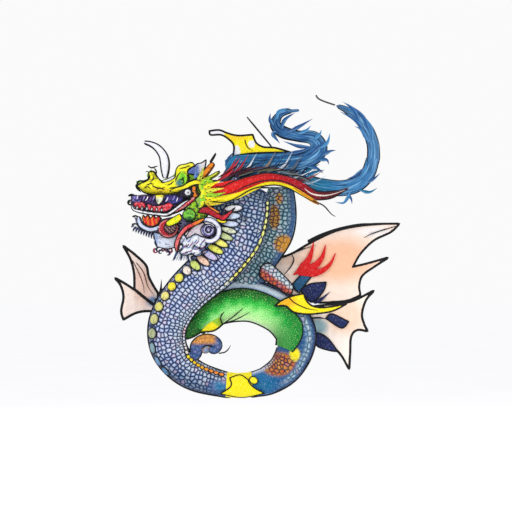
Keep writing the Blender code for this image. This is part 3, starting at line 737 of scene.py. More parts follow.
def build_coil():
    """The scaled sleeve of the neck and of the left side of the coil."""
    sleeve = Sleeve(COIL)
    skin = sleeve.skin(3.2, swell=quilt(125, 1.6), closed=(True, False))
    t = skin.run / sleeve.length
    outer = 1 - step_up(np.abs(skin.angle), 24, 62)
    inner = step_up(skin.angle, 70, 150) * step_up(t, 0.25, 0.5)
    rear = step_up(np.abs(skin.angle - 90), 95, 150)
    lilac = rgb(116, 140, 214)
    colour = ramp(t, (0, rgb(40, 84, 130)), (0.12, rgb(84, 120, 170)), (0.3, lilac), (0.72, lilac),
                  (0.86, BLUE), (1, DENIM))
    colour = mixed(colour, rgb(176, 200, 226), 0.75 * inner)
    colour = mixed(colour, rgb(206, 176, 214),
                   0.35 * step_up(mottle(skin.run, skin.angle, 60, 2.0), 0.5, 0.9))
    colour = mixed(colour, rgb(24, 84, 160), 0.9 * outer)
    colour = mixed(colour, rgb(40, 84, 160), 0.65 * rear)
    bottom = step_up(t, 0.7, 0.82)
    low_side = 1 - step_up(skin.angle, 50, 105)
    colour = mixed(colour, rgb(14, 84, 140), bottom * low_side)
    colour = mixed(colour, rgb(14, 120, 170), 0.9 * near(skin.x, skin.z, (-120, -290), (40, 22)))
    colour = mixed(colour, NAVY, 0.85 * step_up(t, 0.55, 0.8) * (1 - step_up(np.abs(skin.angle), 14, 46)))
    plain = near(skin.x, skin.z, (-118, -300), (64, 44))
    show("coil_skin", skin.paint(colour, 1 - 0.85 * plain), "scales", "root", ["coil_sleeve"])
    ink_along("root", sleeve, 0, 9)
    ink_along("root", sleeve, 180, 7, 0.3, 0.995)
    ink_along("root", sleeve, 160, 5, 0.02, 0.34)
    return sleeve


def sleeve_patch(sleeve, loop, rise, width=8.0, step=4.0, lift=SEW):
    """A stuffed patch sewn on a sleeve. The outline is (run, mm of cloth round from the front line)."""
    def place(run, round_it, height):
        return sleeve.place(run, 90 + np.degrees(round_it / sleeve.girth(run)), height)
    return patch(loop, place, raised(rise, width, lift), level(lift - 2), step)


def edge_cord(sleeve, loop, width, lift=SEW):
    """A cord round an outline on a sleeve."""
    run, round_it = loop.T
    points = sleeve.place(run, 90 + np.degrees(round_it / sleeve.girth(run)), lift)
    return tube(points, width / 2, closed=True)


def build_scutes(sleeve):
    """Padded lozenges down the outer front edge of the coil, long on the neck and rounder below."""
    colours = [
        (96, WHITE), (126, rgb(206, 222, 244)), (156, ICE), (186, rgb(226, 232, 200)),
        (216, rgb(196, 210, 150)), (246, LEMON), (276, rgb(236, 236, 90)), (306, rgb(206, 196, 232)),
        (338, PEACH), (371, rgb(214, 230, 120)), (404, CREAM), (438, rgb(240, 228, 70)),
        (472, rgb(246, 226, 40)), (508, rgb(236, 226, 130)), (545, rgb(222, 214, 110)),
        (582, rgb(204, 204, 130)), (620, rgb(176, 184, 140)), (658, rgb(130, 160, 170)),
        (694, rgb(110, 150, 190)), (728, rgb(80, 130, 176)),
    ]
    shapes = []
    for run, colour in colours:
        girth = float(sleeve.girth(run))
        neck = 1 - step_up(run, 300, 430)
        low = step_up(run, 600, 690)
        angle = 42 + 18 * neck - 12 * low
        half = (15.0 - 2.0 * neck, 18.0 + 11 * neck - 7 * low)
        middle = (run, math.radians(angle - 90) * girth)
        loop = blob(middle, half, tilt=16 * neck, step=3.5)
        shape = sleeve_patch(sleeve, loop, 6.5, 9)
        ground = np.broadcast_to(colour, (len(shape.points), 3))
        # painted shade: each scute is darker within 6 mm of its edge, where its padding rolls down to the
        # seam
        shade = mixed(ground, rgb(70, 96, 130), 0.5 * (1 - step_up(shape.distance, 0, 6)))
        shapes.append(shape.paint(shade, 0.5))
        ink("root", edge_cord(sleeve, loop, 4.6, 1.6))
    show("coil_scutes", joined(shapes), "silk", "root", ["belly_scutes"])


def build_chain(sleeve):
    """The chain of small padded cells down the inner edge of the coil."""
    shapes = []
    for run in np.arange(60.0, 905.0, 19.5):
        colour = ramp(np.array([run]), (60, rgb(226, 232, 150)), (300, LEMON), (360, ICE), (560, ICE),
                      (600, PINK), (640, ICE), (722, CREAM), (735, YELLOW), (860, ORANGE))[0]
        angle = float(np.interp(run, [0, 330, 420, 700, 740], [150, 150, 158, 154, 138]))
        middle = (run, math.radians(angle - 90) * float(sleeve.girth(run)))
        loop = blob(middle, (9.5, 7.0), step=3.0)
        shapes.append(sleeve_patch(sleeve, loop, 4.0, 6).paint(colour, 0.2))
        ink("root", edge_cord(sleeve, loop, 3.2, 1.4))
    show("coil_inner_chain", joined(shapes), "silk", "root")


def build_ring():
    """The sleeve of the right side of the coil, blue with a scaled inner patch."""
    sleeve = Sleeve(RING)
    skin = sleeve.skin(3.2, swell=quilt(96, 1.2, 2.0), closed=(False, True))
    t = skin.run / sleeve.length
    front = step_up(skin.angle, 20, 80)
    colour = ramp(t, (0, rgb(10, 100, 160)), (0.08, rgb(10, 104, 160)), (0.16, rgb(14, 84, 140)),
                  (0.3, rgb(14, 76, 130)), (0.5, rgb(30, 100, 160)), (0.7, rgb(60, 120, 180)), (1, DENIM))
    # painted highlight: a pale line along the front of the ring near its outer edge, from the right side
    # over the top
    rim = np.exp(-(((skin.angle - 42) / 15) ** 2)) * step_up(t, 0.42, 0.52)
    colour = mixed(colour, rgb(214, 232, 244), rim)
    outer = np.exp(-(((skin.angle - 2) / 26) ** 2))
    colour = mixed(colour, NAVY, 0.85 * outer * step_up(t, 0.02, 0.12))
    # painted highlight: the same line, bluer, up the lower right side of the ring
    side = np.exp(-(((skin.angle - 49) / 12) ** 2)) * step_up(t, 0.1, 0.2) * (1 - step_up(t, 0.42, 0.5))
    colour = mixed(colour, rgb(130, 184, 214), 0.8 * side)
    scaly = near(skin.x, skin.z, (84, -214), (78, 50)) * step_up(skin.angle, 55, 85)
    patchy = mixed(rgb(216, 146, 10), rgb(190, 70, 0), 0.5 + 0.5 * mottle(skin.x, skin.z, 30, 1.0))
    colour = mixed(colour, patchy, np.minimum(1, 2.2 * scaly))
    wedge = near(skin.x, skin.z, (139, -180), (24, 30)) * front
    colour = mixed(colour, YELLOW, np.minimum(1, 1.6 * wedge))
    inner_low = step_up(skin.angle, 130, 165) * (1 - step_up(t, 0.1, 0.24))
    colour = mixed(colour, ICE, 0.85 * inner_low)
    cyan = near(skin.x, skin.z, (32, -284), (52, 22))
    colour = mixed(colour, rgb(8, 104, 150), 0.9 * cyan)
    rear = step_up(np.abs(skin.angle - 90), 100, 150)
    colour = mixed(colour, rgb(40, 84, 160), 0.7 * rear)
    colour = mixed(colour, rgb(0, 84, 30), step_up(t, 0.84, 0.9) * front)
    strong = np.clip(0.6 * rear + scaly * 1.4 + 0.8 * side, 0, 1)
    show("ring_skin", skin.paint(colour, strong), "scales", "root", ["ring_sleeve"])
    ink_along("root", sleeve, 2, 9, 0, 0.52)
    ink_along("root", sleeve, 2, 6, 0.52, 0.9)
    ink_along("root", sleeve, 24, 3.4, 0.45, 0.93, 0.6)
    ink_along("root", sleeve, 180, 6, 0, 0.28)
    return sleeve


def build_belly(sleeve):
    """The green crescent on the ring, pale at the hole and dark at its outer edge."""
    start, end = GREEN_START, min(GREEN_END, sleeve.length - 6)
    run = np.arange(start, end, 6.0)
    edge = np.interp(run, [start, start + 90, end - 160, end], [96, 62, 57, 24])
    top = np.radians(edge - 90) * sleeve.girth(run)
    bottom = np.radians(196 - 90) * sleeve.girth(run)
    loop = np.vstack([np.column_stack([run, top]), np.column_stack([run, bottom])[::-1]])
    shape = sleeve_patch(sleeve, loop, 4.0, 14, step=5.0)
    across = (np.degrees(shape.v / sleeve.girth(shape.u)) + 90 - 57) / (180 - 57)
    across += 0.05 * mottle(shape.u, shape.v, 60, 4.0)
    along = (shape.u - start) / (end - start)
    colour = ramp(across, (0.0, rgb(0, 70, 24)), (0.2, rgb(0, 120, 36)), (0.34, rgb(34, 188, 66)),
                  (0.47, rgb(150, 238, 136)), (0.72, rgb(196, 250, 170)), (1.0, rgb(230, 255, 220)))
    colour = mixed(colour, FOREST, 0.75 * (1 - step_up(along, 0.02, 0.3)))
    colour = mixed(colour, rgb(0, 110, 40),
                   0.7 * step_up(along, 0.8, 1.0) * (1 - step_up(across, 0.8, 1.0)))
    colour = mixed(colour, rgb(0, 134, 50), 0.8 * (1 - step_up(along, 0.16, 0.46)))
    shape.paint(colour, 1.0)
    foot = outline([(-264, -90), (-240, -128)], [(-216, -118), (-190, -103)],
                   [(-206, -72), (-262, -40)])
    foot_patch = flat_patch(foot, -106, 8, 14, under=14)
    show("belly_foot", foot_patch.paint(rgb(0, 96, 34), 1.0), "belly", "root")
    ink_line("root", [(-240, -128), (-216, -119), (-190, -104)], 5, -116, tips=(0.7, 1))
    show("green_belly", shape, "belly", "root", ["green_belly_panel"])
    ink("root", edge_cord(sleeve, loop, 4.6, 1.8))
    ink_along("root", sleeve, 181, 7, start / sleeve.length, end / sleeve.length, 6.5)


def build_belly_tip():
    """The yellow tip of the belly and its whiskers, at the hole's left."""
    loop = outline([(-122, -54), (-108, -72)], [(-128, -90), (-150, -100), (-190, -102)],
                   [(-168, -72), (-140, -52), (-112, -36)])
    tip = flat_patch(loop, BELLY_TIP_Y, 6, 14, under=14)
    colour = mixed(YELLOW, ORANGE, 0.7 * near(tip.x, tip.z, (-120, -68), (22, 22)))
    colour = mixed(colour, rgb(110, 200, 50), 0.8 * step_up(tip.z + 0.62 * (tip.x + 150), -74, -60))
    show("belly_tip", tip.paint(colour, 0.1), "silk", "root")
    ink_line("root", [(-108, -30), (-120, -49), (-116, -69), (-108, -74)], 5, -122, tips=(0.4, 1))
    ink_line("root", [(-190, -101), (-150, -99), (-128, -88), (-108, -72), (-70, -60)], 6, -119,
             tips=(0.6, 0.8))
    ink_line("root", [(-110, -72), (-74, -46), (-39, -15)], 4.6, -124, tips=(1, 0.3))
    ink_line("root", [(-102, -72), (-59, -54), (-16, -31)], 4.2, -124, tips=(1, 0.3))


def flat_patch(loop, y, rise, width=8.0, step=4.0, under=2.0):
    """A padded patch in the picture plane, over a depth y that is a number or is given by y(x, z)."""
    def place(x, z, height):
        base = y(x, z) if callable(y) else y
        return np.column_stack([x, base - height, z])
    return patch(loop, place, raised(rise, width), level(-under), step)


def build_saddle():
    """The yellow piece at the bottom, with its drawn outline and egg."""
    sleeve = Sleeve(SADDLE)
    skin = sleeve.skin(3.2, swell=quilt(98, 1.0)).paint(YELLOW)
    show("saddle_skin", skin, "silk", "root", ["bottom_saddle"])
    loop = outline([(-84, -290), (-121, -318)], [(-45, -331), (34, -316)],
                   [(0, -298), (-20, -279), (-24, -268)], [(-52, -252), (-88, -262)])

    def bulge(reach):
        return lambda x, z: RIM_Y - reach * np.sqrt(np.clip(1 - ((z + 289) / 47) ** 2, 0.02, 1))

    front = flat_patch(loop, bulge(37), 3.5)
    egg_loop = blob((-5, -270), (12, 15), 60)
    egg = flat_patch(egg_loop, RIM_Y - 37, 6)
    show("saddle_front", joined([front.paint(YELLOW), egg.paint(rgb(250, 236, 30))]), "silk", "root")
    ink_loop("root", loop, 4.6, bulge(38.5))
    ink_loop("root", egg_loop, 4.2, RIM_Y - 38)


def build_throat():
    """The scaled cloth of the throat, behind the collar."""
    loop = outline([(-128, 388), (-84, 394)], [(-76, 340), (-84, 292)],
                   [(-112, 292), (-140, 318), (-156, 366)])
    shape = flat_patch(loop, THROAT_Y, 7, 20, under=7)
    show("throat_cloth", shape.paint(rgb(70, 110, 160), 1.0), "scales", "root")


def build_rear_neck():
    """The neck that comes down behind the front one."""
    sleeve = Sleeve(REAR_NECK)
    skin = sleeve.skin(3.4, swell=quilt(80, 1.0, 5.0), closed=(True, False))
    colour = mixed(rgb(110, 170, 180), rgb(6, 60, 130), 0.9 * np.exp(-(((skin.angle - 148) / 34) ** 2)))
    colour = mixed(colour, rgb(20, 120, 180), 0.8 * np.exp(-(((skin.angle - 172) / 12) ** 2)))
    ochre = np.maximum(near(skin.x, skin.z, (68, 302), (24, 54)), near(skin.x, skin.z, (98, 208), (40, 38)))
    ochre = np.maximum(ochre, near(skin.x, skin.z, (84, 366), (16, 24)))
    colour = mixed(colour, rgb(216, 150, 20), np.minimum(1, 2.2 * ochre))
    strong = 0.9 - 0.75 * np.exp(-(((skin.angle - 152) / 26) ** 2))
    show("rear_neck_skin", skin.paint(colour, strong), "scales", "root", ["rear_neck_sleeve"])
    ink_along("root", sleeve, 180, 8, 0.02, 0.97)


def build_tail_curl():
    """The small curl inside the coil."""
    sleeve = Sleeve(TAIL_CURL)
    fill = flat_patch(blob((-172, -158), (20, 18), 60), -112, 8, 14, under=12)
    show("tail_curl_fill", fill.paint(mixed(rgb(120, 150, 190), OCHRE,
                                            0.6 * (mottle(fill.x, fill.z, 14) > 0.1)), 0.6), "silk",
         "root")
    skin = sleeve.skin(2.5, closed=(False, True))
    warm = step_up(skin.z, -150, -134) * (1 - step_up(skin.x, -150, -128))
    colour = mixed(rgb(40, 84, 150), rgb(236, 160, 70), warm)
    colour = mixed(colour, OCHRE, 0.5 * warm * (mottle(skin.x, skin.z, 16) > 0))
    show("curl_skin", skin.paint(colour, 0.3), "scales", "root", ["tail_curl"])
    ink_along("root", sleeve, 0, 6)
    ink_along("root", sleeve, 180, 5)
    ink_line("root", [(-128, -176), (-106, -172), (-92, -160), (-85, -146)], 5, -122, tips=(1, 0.3))


# ---------------------------------------------------------------- fins
LEFT_UPPER_FIN = [
    [(-390, 18), (-426, 48)], [(-428, 105), (-441, 155), (-466, 200)],
    [(-422, 166), (-386, 130), (-377, 92), (-358, 55), (-344, 34)], [(-344, 12)],
    [(-352, 10)], [(-352, -11)],
]
LEFT_LOWER_FIN = [
    [(-375, -30), (-420, -36), (-466, -60)], [(-473, -30), (-465, 20), (-475, 60), (-495, 86)],
    [(-460, 66), (-426, 44)], [(-390, 14), (-352, -15), (-344, -15)], [(-344, -38)],
]
WING = [
    [(68, 150)], [(130, 172), (200, 212), (300, 257), (400, 275), (510, 278)],
    [(480, 250), (420, 220), (372, 172), (345, 125)], [(400, 138), (470, 158)],
    [(420, 126), (380, 96), (368, 60), (372, 26)], [(335, 10), (300, 4), (230, 0)], [(185, 12), (68, 42)],
]
LOWER_FIN = [
    [(230, -12), (300, -4), (350, 6), (420, 41)], [(392, 8), (378, -40), (385, -75), (398, -101)],
    [(362, -97), (340, -120), (336, -180), (333, -235)],
    [(308, -190), (280, -160), (235, -125), (158, -105)], [(158, -22)],
]
SAIL_THICK = 1.2
LEFT_VEIN = rgb(80, 40, 30)
BINDING = 10.5


def sail(runs, billow, colour, seed):
    """A layer of cloth stretched in its binding, with a little belly and some pulls from its edge."""
    loop = outline(*runs)
    def place(x, z, height):
        distance = inside_distance(x, z, loop)
        pulls = 1.6 * mottle(x, z, 46, seed) * step_up(distance, 2, 16)
        return np.column_stack([x, SAIL_Y - billow * dome(distance, 60) - pulls - height, z])
    shape = patch(loop, place, level(SAIL_THICK / 2), level(-SAIL_THICK / 2), 5.0)
    shape.paint(colour(shape.x, shape.z, shape.distance))
    return loop, shape


def flat_area(loop):
    """The area inside an outline, in square metres."""
    x, z = (loop * 0.001).T
    return abs(float(np.dot(x, np.roll(z, -1)) - np.dot(z, np.roll(x, -1)))) / 2


def show_sail(name, loop, shape, body, node_name):
    made = show(name, shape, "sail", body, [node_name])
    width, height = (loop.max(axis=0) - loop.min(axis=0)) * 0.001
    area = max(flat_area(loop), 0.31 * float(width * height))
    return made


def leaf(runs, colour, body, rise=2.5, y=SAIL_Y - 5):
    """A padded leaf sewn on a sail, with its black edge."""
    loop = outline(*runs)
    shape = flat_patch(loop, y, rise, 6, 4.0)
    if callable(colour):
        shape.paint(colour(shape.x, shape.z))
    else:
        shape.paint(mixed(np.broadcast_to(colour, (len(shape.points), 3)), BLUE,
                          0.05 + 0.05 * mottle(shape.x, shape.z, 30)))
    ink_loop(body, loop, 5.0, y - 1.0)
    return shape


def build_left_fins():
    """The two small fins at the left and the leaf at their root."""
    def cream(x, z, d):
        colour = mixed(rgb(240, 222, 212), rgb(222, 180, 160), 0.7 * near(x, z, (-395, 60), (56, 100)))
        return mixed(colour, rgb(44, 110, 160), 0.85 * near(x, z, (-360, 4), (34, 26)))
    for name, runs, node_name in (("left_upper", LEFT_UPPER_FIN, "left_upper_sail"),
                                  ("left_lower", LEFT_LOWER_FIN, "left_lower_sail")):
        loop, shape = sail(runs, 3.5, cream, len(name))
        show_sail(f"{name}_cloth", loop, shape, "left_fins", node_name)
        ink_loop("left_fins", loop, BINDING, SAIL_Y, flat=0.6)
    ink_line("left_fins", [(-421, 142), (-395, 106), (-379, 56), (-356, 24)], 3.2, SAIL_Y - 5,
             colour=LEFT_VEIN)
    ink_line("left_fins", [(-434, 150), (-408, 96), (-396, 60), (-392, 30)], 3.2, SAIL_Y - 5,
             colour=LEFT_VEIN)
    spike = strand([(-338, 22), (-333, 50), (-331, 84)], 9, SAIL_Y - 4, tips=(1, 0.1)).paint(INK)
    small = leaf([[(-330, 44), (-306, 62)], [(-318, 36), (-342, 24)]], NAVY, "left_fins")
    show("left_fin_leaf", joined([small, spike]), "silk", "left_fins")


def build_wing():
    """The large wing at the right, with its flame and leaves."""
    def cream(x, z, d):
        blush = near(x, z, (300, 150), (190, 110))
        colour = mixed(rgb(246, 224, 210), rgb(240, 184, 146), 0.9 * blush)
        colour = mixed(colour, rgb(206, 160, 130), 0.4 * near(x, z, (120, 150), (60, 24)))
        return mixed(colour, WHITE, 0.6 * near(x, z, (420, 250), (90, 26)) * (1 - blush))
    loop, shape = sail(WING, 6.0, cream, 3.0)
    show_sail("wing_cloth", loop, shape, "wing", "wing_sail")
    ink_loop("wing", loop, BINDING, SAIL_Y, flat=0.6)
    front = SAIL_Y - 9
    ink_line("wing", [(186, 214), (235, 238), (298, 259), (368, 273), (440, 277), (506, 278)], 13,
             SAIL_Y - 2)
    ink_line("wing", [(384, 228), (421, 246), (506, 272)], 4.5, front, tips=(0.3, 0.6))
    ink_line("wing", [(72, 156), (98, 164), (137, 176), (179, 192), (217, 203)], 4.6, front)
    ink_line("wing", [(131, 170), (137, 150), (126, 126), (103, 98)], 4.4, front, tips=(0.6, 0.4))
    flame = []
    for line, width in (
        ([(134, 96), (170, 126), (194, 162), (208, 214)], 30),
        ([(150, 100), (204, 124), (236, 158), (250, 206)], 30),
        ([(150, 98), (220, 106), (262, 132), (286, 176)], 26),
    ):
        flame.append(strand(line, width, front - 4, tips=(0.1, 0.1), depth=0.18))
    show("wing_flame", joined(flame).paint(RED), "silk", "wing")
    teal = leaf([[(168, 100), (212, 108)], [(184, 72), (156, 34)], [(140, 48), (133, 66)]],
                rgb(30, 90, 130), "wing", y=front)
    navy = leaf([[(196, 66), (252, 72)], [(244, 44), (222, 14)], [(196, 2), (160, 45)]],
                NAVY, "wing", y=front)
    stroke = strand([(206, -2), (230, 8), (268, 40)], 13, front, tips=(0.8, 0.0)).paint(NAVY)
    show("wing_leaves", joined([teal, navy, stroke]), "silk", "wing")


def build_lower_fin():
    """The lower fin at the right, with its leaves."""
    def cream(x, z, d):
        colour = mixed(rgb(250, 236, 226), rgb(246, 200, 168), 0.7 * near(x, z, (320, -50), (100, 90)))
        colour = mixed(colour, rgb(70, 150, 170), 0.75 * near(x, z, (222, -86), (50, 44)))
        return mixed(colour, NAVY, 0.7 * near(x, z, (180, -70), (40, 60)))
    loop, shape = sail(LOWER_FIN, 4.5, cream, 5.0)
    show_sail("lower_fin_cloth", loop, shape, "lower_fin", "lower_fin_sail")
    ink_loop("lower_fin", loop, BINDING, SAIL_Y, flat=0.6)
    front = SAIL_Y - 7.5
    navy = leaf([[(272, -40), (332, -68)], [(306, -90), (250, -56)]], NAVY, "lower_fin", y=front)
    low = leaf([[(236, -112), (263, -132), (293, -174)], [(263, -170), (222, -156), (206, -130)],
                [(204, -118), (208, -106)]], NAVY, "lower_fin", y=front)
    show("lower_fin_leaves", joined([navy, low]), "silk", "lower_fin")
    ink_line("lower_fin", [(196, -56), (226, -54), (254, -58)], 6, front)


HIP_FIN = [
    [(95, 10), (130, 24), (170, 33)], [(180, 8), (205, -12), (250, -15), (320, -3)],
    [(275, -26), (230, -35), (180, -38), (135, -31), (108, -10), (70, -10)],
]
HIP = [
    [(22, 128), (50, 138), (78, 118), (112, 84), (134, 60)], [(126, 32), (104, 36)],
    [(76, 56), (50, 70), (16, 92)],
]


def build_hip():
    """The yellow fin at the hip and the padded hip above it."""
    loop = outline(*HIP_FIN)
    shape = flat_patch(loop, HIP_Y, 4.5, 10)
    warm = mixed(YELLOW, ORANGE, 0.6 * near(shape.x, shape.z, (110, 4), (50, 26)))
    show("hip_fin_pad", shape.paint(warm), "silk", "root", ["hip_fin_sail"])
    ink_loop("root", loop, 7, HIP_Y - 1)
    ink_line("root", [(119, 19), (140, 0), (179, -18), (221, -26)], 3.8, -131)
    pad_loop = outline(*HIP)
    pad = flat_patch(pad_loop, HIP_Y + 1, 14, 24, under=4)
    colour = mixed(rgb(226, 110, 40), rgb(190, 40, 30), 0.5 + 0.5 * mottle(pad.x, pad.z, 30, 2.0))
    top = step_up(pad.z + 0.75 * pad.x, 132, 152)
    colour = mixed(colour, rgb(190, 214, 226), top)
    show("hip_pad_cloth", pad.paint(colour, 0.85), "scales", "root", ["hip_pad"])
    ink_loop("root", pad_loop, 5.6, HIP_Y - 1)


# ---------------------------------------------------------------- plume, tail and banners
PLUME = at_y(PLUME_Y, [
    (-105, 480, 18, 10), (-55, 487, 30, 16), (60, 487, 38, 18), (165, 498, 33, 18), (222, 535, 28, 16),
    (205, 576, 22, 14), (150, 584, 17, 12), (98, 598, 19, 12), (72, 624, 17, 10), (84, 655, 10, 7),
    (115, 669, 6, 4), (155, 674, 3, 2.5),
])
TAIL = at_y(TAIL_Y, [
    (176, 426, 23, 18), (230, 410, 25, 20), (300, 402, 25, 20), (355, 415, 25, 20),
    (395, 452, 23, 20), (412, 498, 21, 18), (415, 508, 21, 18),
])
TAIL_TIP = at_y(TAIL_Y, [
    (413, 500, 20, 16), (416, 512, 20, 18), (413, 560, 19, 16), (392, 612, 18, 14),
    (355, 655, 14, 11), (315, 680, 8, 7), (285, 692, 3, 3),
])
DORSAL_FIN = [
    [(70, 543), (30, 546), (5, 560), (-8, 589)], [(-60, 586), (-95, 594), (-125, 605), (-160, 602)],
    [(-155, 588), (-120, 588), (-95, 575), (-75, 552), (-76, 514)], [(0, 524), (126, 527)],
]


def ridges(count, depth, twist, seed=0.0):
    """A swell for brushed hair: ridges that run along the piece and turn slowly round it."""
    def swell(run, angle):
        lines = np.sin(np.radians(angle * count) + run / twist + 1.5 * mottle(run, angle, 130, seed))
        return depth * lines
    return swell


def hair_colour(skin, root, mid, tip):
    """The colour along a brushed sleeve, with darker patches."""
    t = skin.run / skin.run.max()
    colour = ramp(t, (0, root), (0.4, mid), (1, tip))
    return mixed(colour, NAVY, 0.15 + 0.15 * mottle(skin.run, skin.angle, 70, 3.0))


def wisps(points, y, colour, width=8):
    """Several strands, each a list of points (x, z)."""
    made = []
    for number, line in enumerate(points):
        shade = colour[number % len(colour)]
        made.append(strand(line, width, y - 1.5 * (number % 3)).paint(shade, 0.6))
    return made


def build_plume():
    """The curled blue plume and its strands."""
    sleeve = Sleeve(PLUME)
    skin = sleeve.skin(3.0, swell=ridges(7, 1.3, 60), closed=(True, True))
    skin.paint(hair_colour(skin, rgb(36, 130, 180), rgb(46, 110, 166), rgb(50, 100, 156)), 1.0)
    show("plume_skin", skin, "hair", "root", ["plume_sleeve"])
    for angle in (0, 180):
        ink_along("root", sleeve, angle, 5.0, 0.04, 0.96)
    strands = wisps(
        [
            [(112, 596), (150, 614), (204, 645)], [(92, 606), (104, 640), (142, 666)],
            [(226, 540), (252, 560), (262, 594)], [(232, 516), (262, 530), (284, 534)],
            [(222, 500), (250, 500), (258, 482)], [(206, 570), (226, 590), (232, 606)],
            [(196, 545), (150, 548), (96, 566)], [(76, 598), (62, 590), (88, 556)],
            [(150, 590), (178, 602), (196, 620)], [(196, 520), (232, 552), (260, 570)],
            [(66, 618), (52, 640), (54, 664)], [(76, 640), (84, 668), (124, 682)],
            [(100, 520), (160, 530), (214, 556)], [(-20, 500), (60, 508), (130, 516)],
            [(-60, 478), (30, 472), (120, 480)], [(-88, 470), (-94, 500), (-72, 530)],
            [(180, 478), (216, 470), (240, 452)],
        ],
        -136, (DENIM, rgb(30, 84, 140), rgb(60, 130, 184)), 15,
    )
    show("plume_strands", joined(strands), "hair", "root")
    ink_line("root", [(-29, 651), (10, 604), (58, 546)], 6.5, -128, tips=(0.7, 0.9))


def build_dorsal_fin():
    """The yellow fin on the plume, with white spots and a white tip."""
    loop = outline(*DORSAL_FIN)
    fin = flat_patch(loop, FIN_Y, 2.2, 8, under=1.0)
    white = np.maximum(near(fin.x, fin.z, (-64, 526), (17, 34)), near(fin.x, fin.z, (-12, 556), (15, 18)))
    colour = mixed(YELLOW, ORANGE, 0.3 * near(fin.x, fin.z, (-70, 580), (60, 16)))
    white = np.maximum(white, 1 - step_up(fin.x, -118, -100))
    show("dorsal_fin_cloth", fin.paint(mixed(colour, WHITE, step_up(white, 0.2, 0.5))), "silk", "root",
         ["dorsal_fin_sail"])
    ink_loop("root", loop, 7, FIN_Y - 2)
    ink_line("root", [(-36, 572), (-27, 546), (-5, 531)], 3.6, -122)
    ink_line("root", [(-78, 512), (-73, 548), (-99, 577), (-130, 590)], 4.6, -122)


def build_tail():
    """The tail and its tip, two sleeves that meet at the tail's hinge."""
    root = Sleeve(TAIL)
    skin = root.skin(3.0, swell=ridges(6, 1.2, 70, 1.0), closed=(True, False))
    skin.paint(hair_colour(skin, rgb(24, 140, 170), rgb(46, 120, 176), rgb(70, 130, 184)), 1.0)
    show("tail_skin", skin, "hair", "tail", ["tail_sleeve"])
    tip = Sleeve(TAIL_TIP)
    skin = tip.skin(3.0, swell=ridges(6, 1.0, 70, 1.0), closed=(False, True))
    skin.paint(hair_colour(skin, rgb(70, 130, 184), rgb(80, 134, 180), rgb(80, 120, 160)), 1.0)
    show("tail_tip_skin", skin, "hair", "tail_tip", ["tail_tip_sleeve"])
    for angle in (0, 180):
        ink_along("tail", root, angle, 5.0, 0.02, 1.0)
        ink_along("tail_tip", tip, angle, 5.0, 0.0, 0.98)
    strands = wisps(
        [
            [(380, 420), (412, 432), (440, 456)], [(364, 396), (400, 388), (430, 404)],
            [(336, 392), (312, 352), (278, 354)], [(376, 470), (352, 446), (320, 434)],
            [(200, 396), (240, 384), (296, 380)], [(366, 430), (386, 470), (390, 510)],
            [(316, 386), (336, 366), (340, 344)],
        ],
        -108, (DENIM, rgb(20, 110, 150), rgb(60, 130, 184)), 13,
    )
    show("tail_strands", joined(strands), "hair", "tail")
    strands = wisps(
        [
            [(372, 625), (345, 670), (292, 694)], [(404, 590), (376, 656), (322, 700)],
            [(412, 560), (404, 620), (366, 664)], [(384, 600), (352, 640), (296, 672)],
            [(400, 560), (372, 606), (346, 620)], [(366, 636), (346, 676), (306, 706)],
        ],
        -106, (rgb(60, 120, 176), rgb(40, 90, 150)), 15,
    )
    show("tail_tip_strands", joined(strands), "hair", "tail_tip")


def ribbon(path, bulge_depth):
    """A padded streamer. path holds x, z of its middle, its half height and its depth."""
    line = curve(path, 4.0)
    stations = np.column_stack([line[:, 0], line[:, 1], np.maximum(line[:, 2], 0.8), line[:, 3],
                                0 * line[:, 0] + bulge_depth])
    return Sleeve(stations, 4.0).skin(3.2, closed=(True, True))


RED_BANNER = [(-152, 398, 8, -222), (-130, 396, 19, -222), (-60, 405, 24, -221), (40, 432, 17, -218),
              (130, 416, 16, -213), (215, 374, 15, -208), (280, 380, 8, -204), (322, 398, 1, -202)]
YELLOW_BANNER = [(-152, 362, 5, -222), (-112, 362, 11, -222), (-60, 374, 11, -221), (30, 413, 8, -218),
                 (80, 416, 7, -216), (130, 399, 7, -213), (200, 356, 7, -209), (222, 344, 3, -208)]


def build_banners():
    """The red and the yellow streamer, their lines and stripes."""
    red = ribbon(RED_BANNER, 4)
    t = red.run / red.run.max()
    colour = ramp(t, (0, rgb(226, 26, 20)), (0.4, rgb(214, 20, 24)), (0.62, CRIMSON), (0.85, MAROON),
                  (1, MAROON))
    streak = mottle(red.run * 0.25, red.angle * 0.5, 17, 2.0)
    colour = mixed(colour, MAROON, 0.5 * step_up(streak, 0.2, 0.7) * step_up(t, 0.15, 0.5))
    show("red_streamer", red.paint(colour, 0.12), "silk", "root", ["red_banner"])
    yellow = ribbon(YELLOW_BANNER, 3.5)
    colour = ramp(yellow.run / yellow.run.max(), (0, YELLOW), (0.8, YELLOW), (1, ORANGE))
    show("yellow_streamer", yellow.paint(colour), "silk", "root", ["yellow_banner"])
    for line, width in (
        ([(-137, 403), (-111, 404), (-69, 424), (-5, 443), (46, 451), (88, 445), (130, 434), (170, 416)],
         5),
        ([(-111, 373), (-69, 386), (-27, 407), (29, 424), (79, 425), (122, 413), (164, 390), (205, 362)],
         4),
        ([(-150, 352), (-111, 349), (-69, 362), (-14, 393), (37, 406), (79, 408), (122, 395), (164, 371),
          (222, 340)], 5),
        ([(170, 416), (198, 396), (219, 386), (270, 388), (324, 400)], 5),
        ([(200, 358), (230, 358), (270, 366), (322, 396)], 5),
        ([(198, 356), (236, 338), (262, 310), (278, 300)], 5),
    ):
        ink_line("root", line, width, BANNER_LINES_Y, tips=(0.6, 0.5))
    cream = strand([(170, 398), (200, 378), (250, 374), (312, 392)], 6, -215).paint(CREAM)
    gold = strand([(130, 402), (170, 376), (210, 350), (224, 344)], 6, -217).paint(ORANGE)
    show("banner_stripes", joined([cream, gold]), "silk", "root")


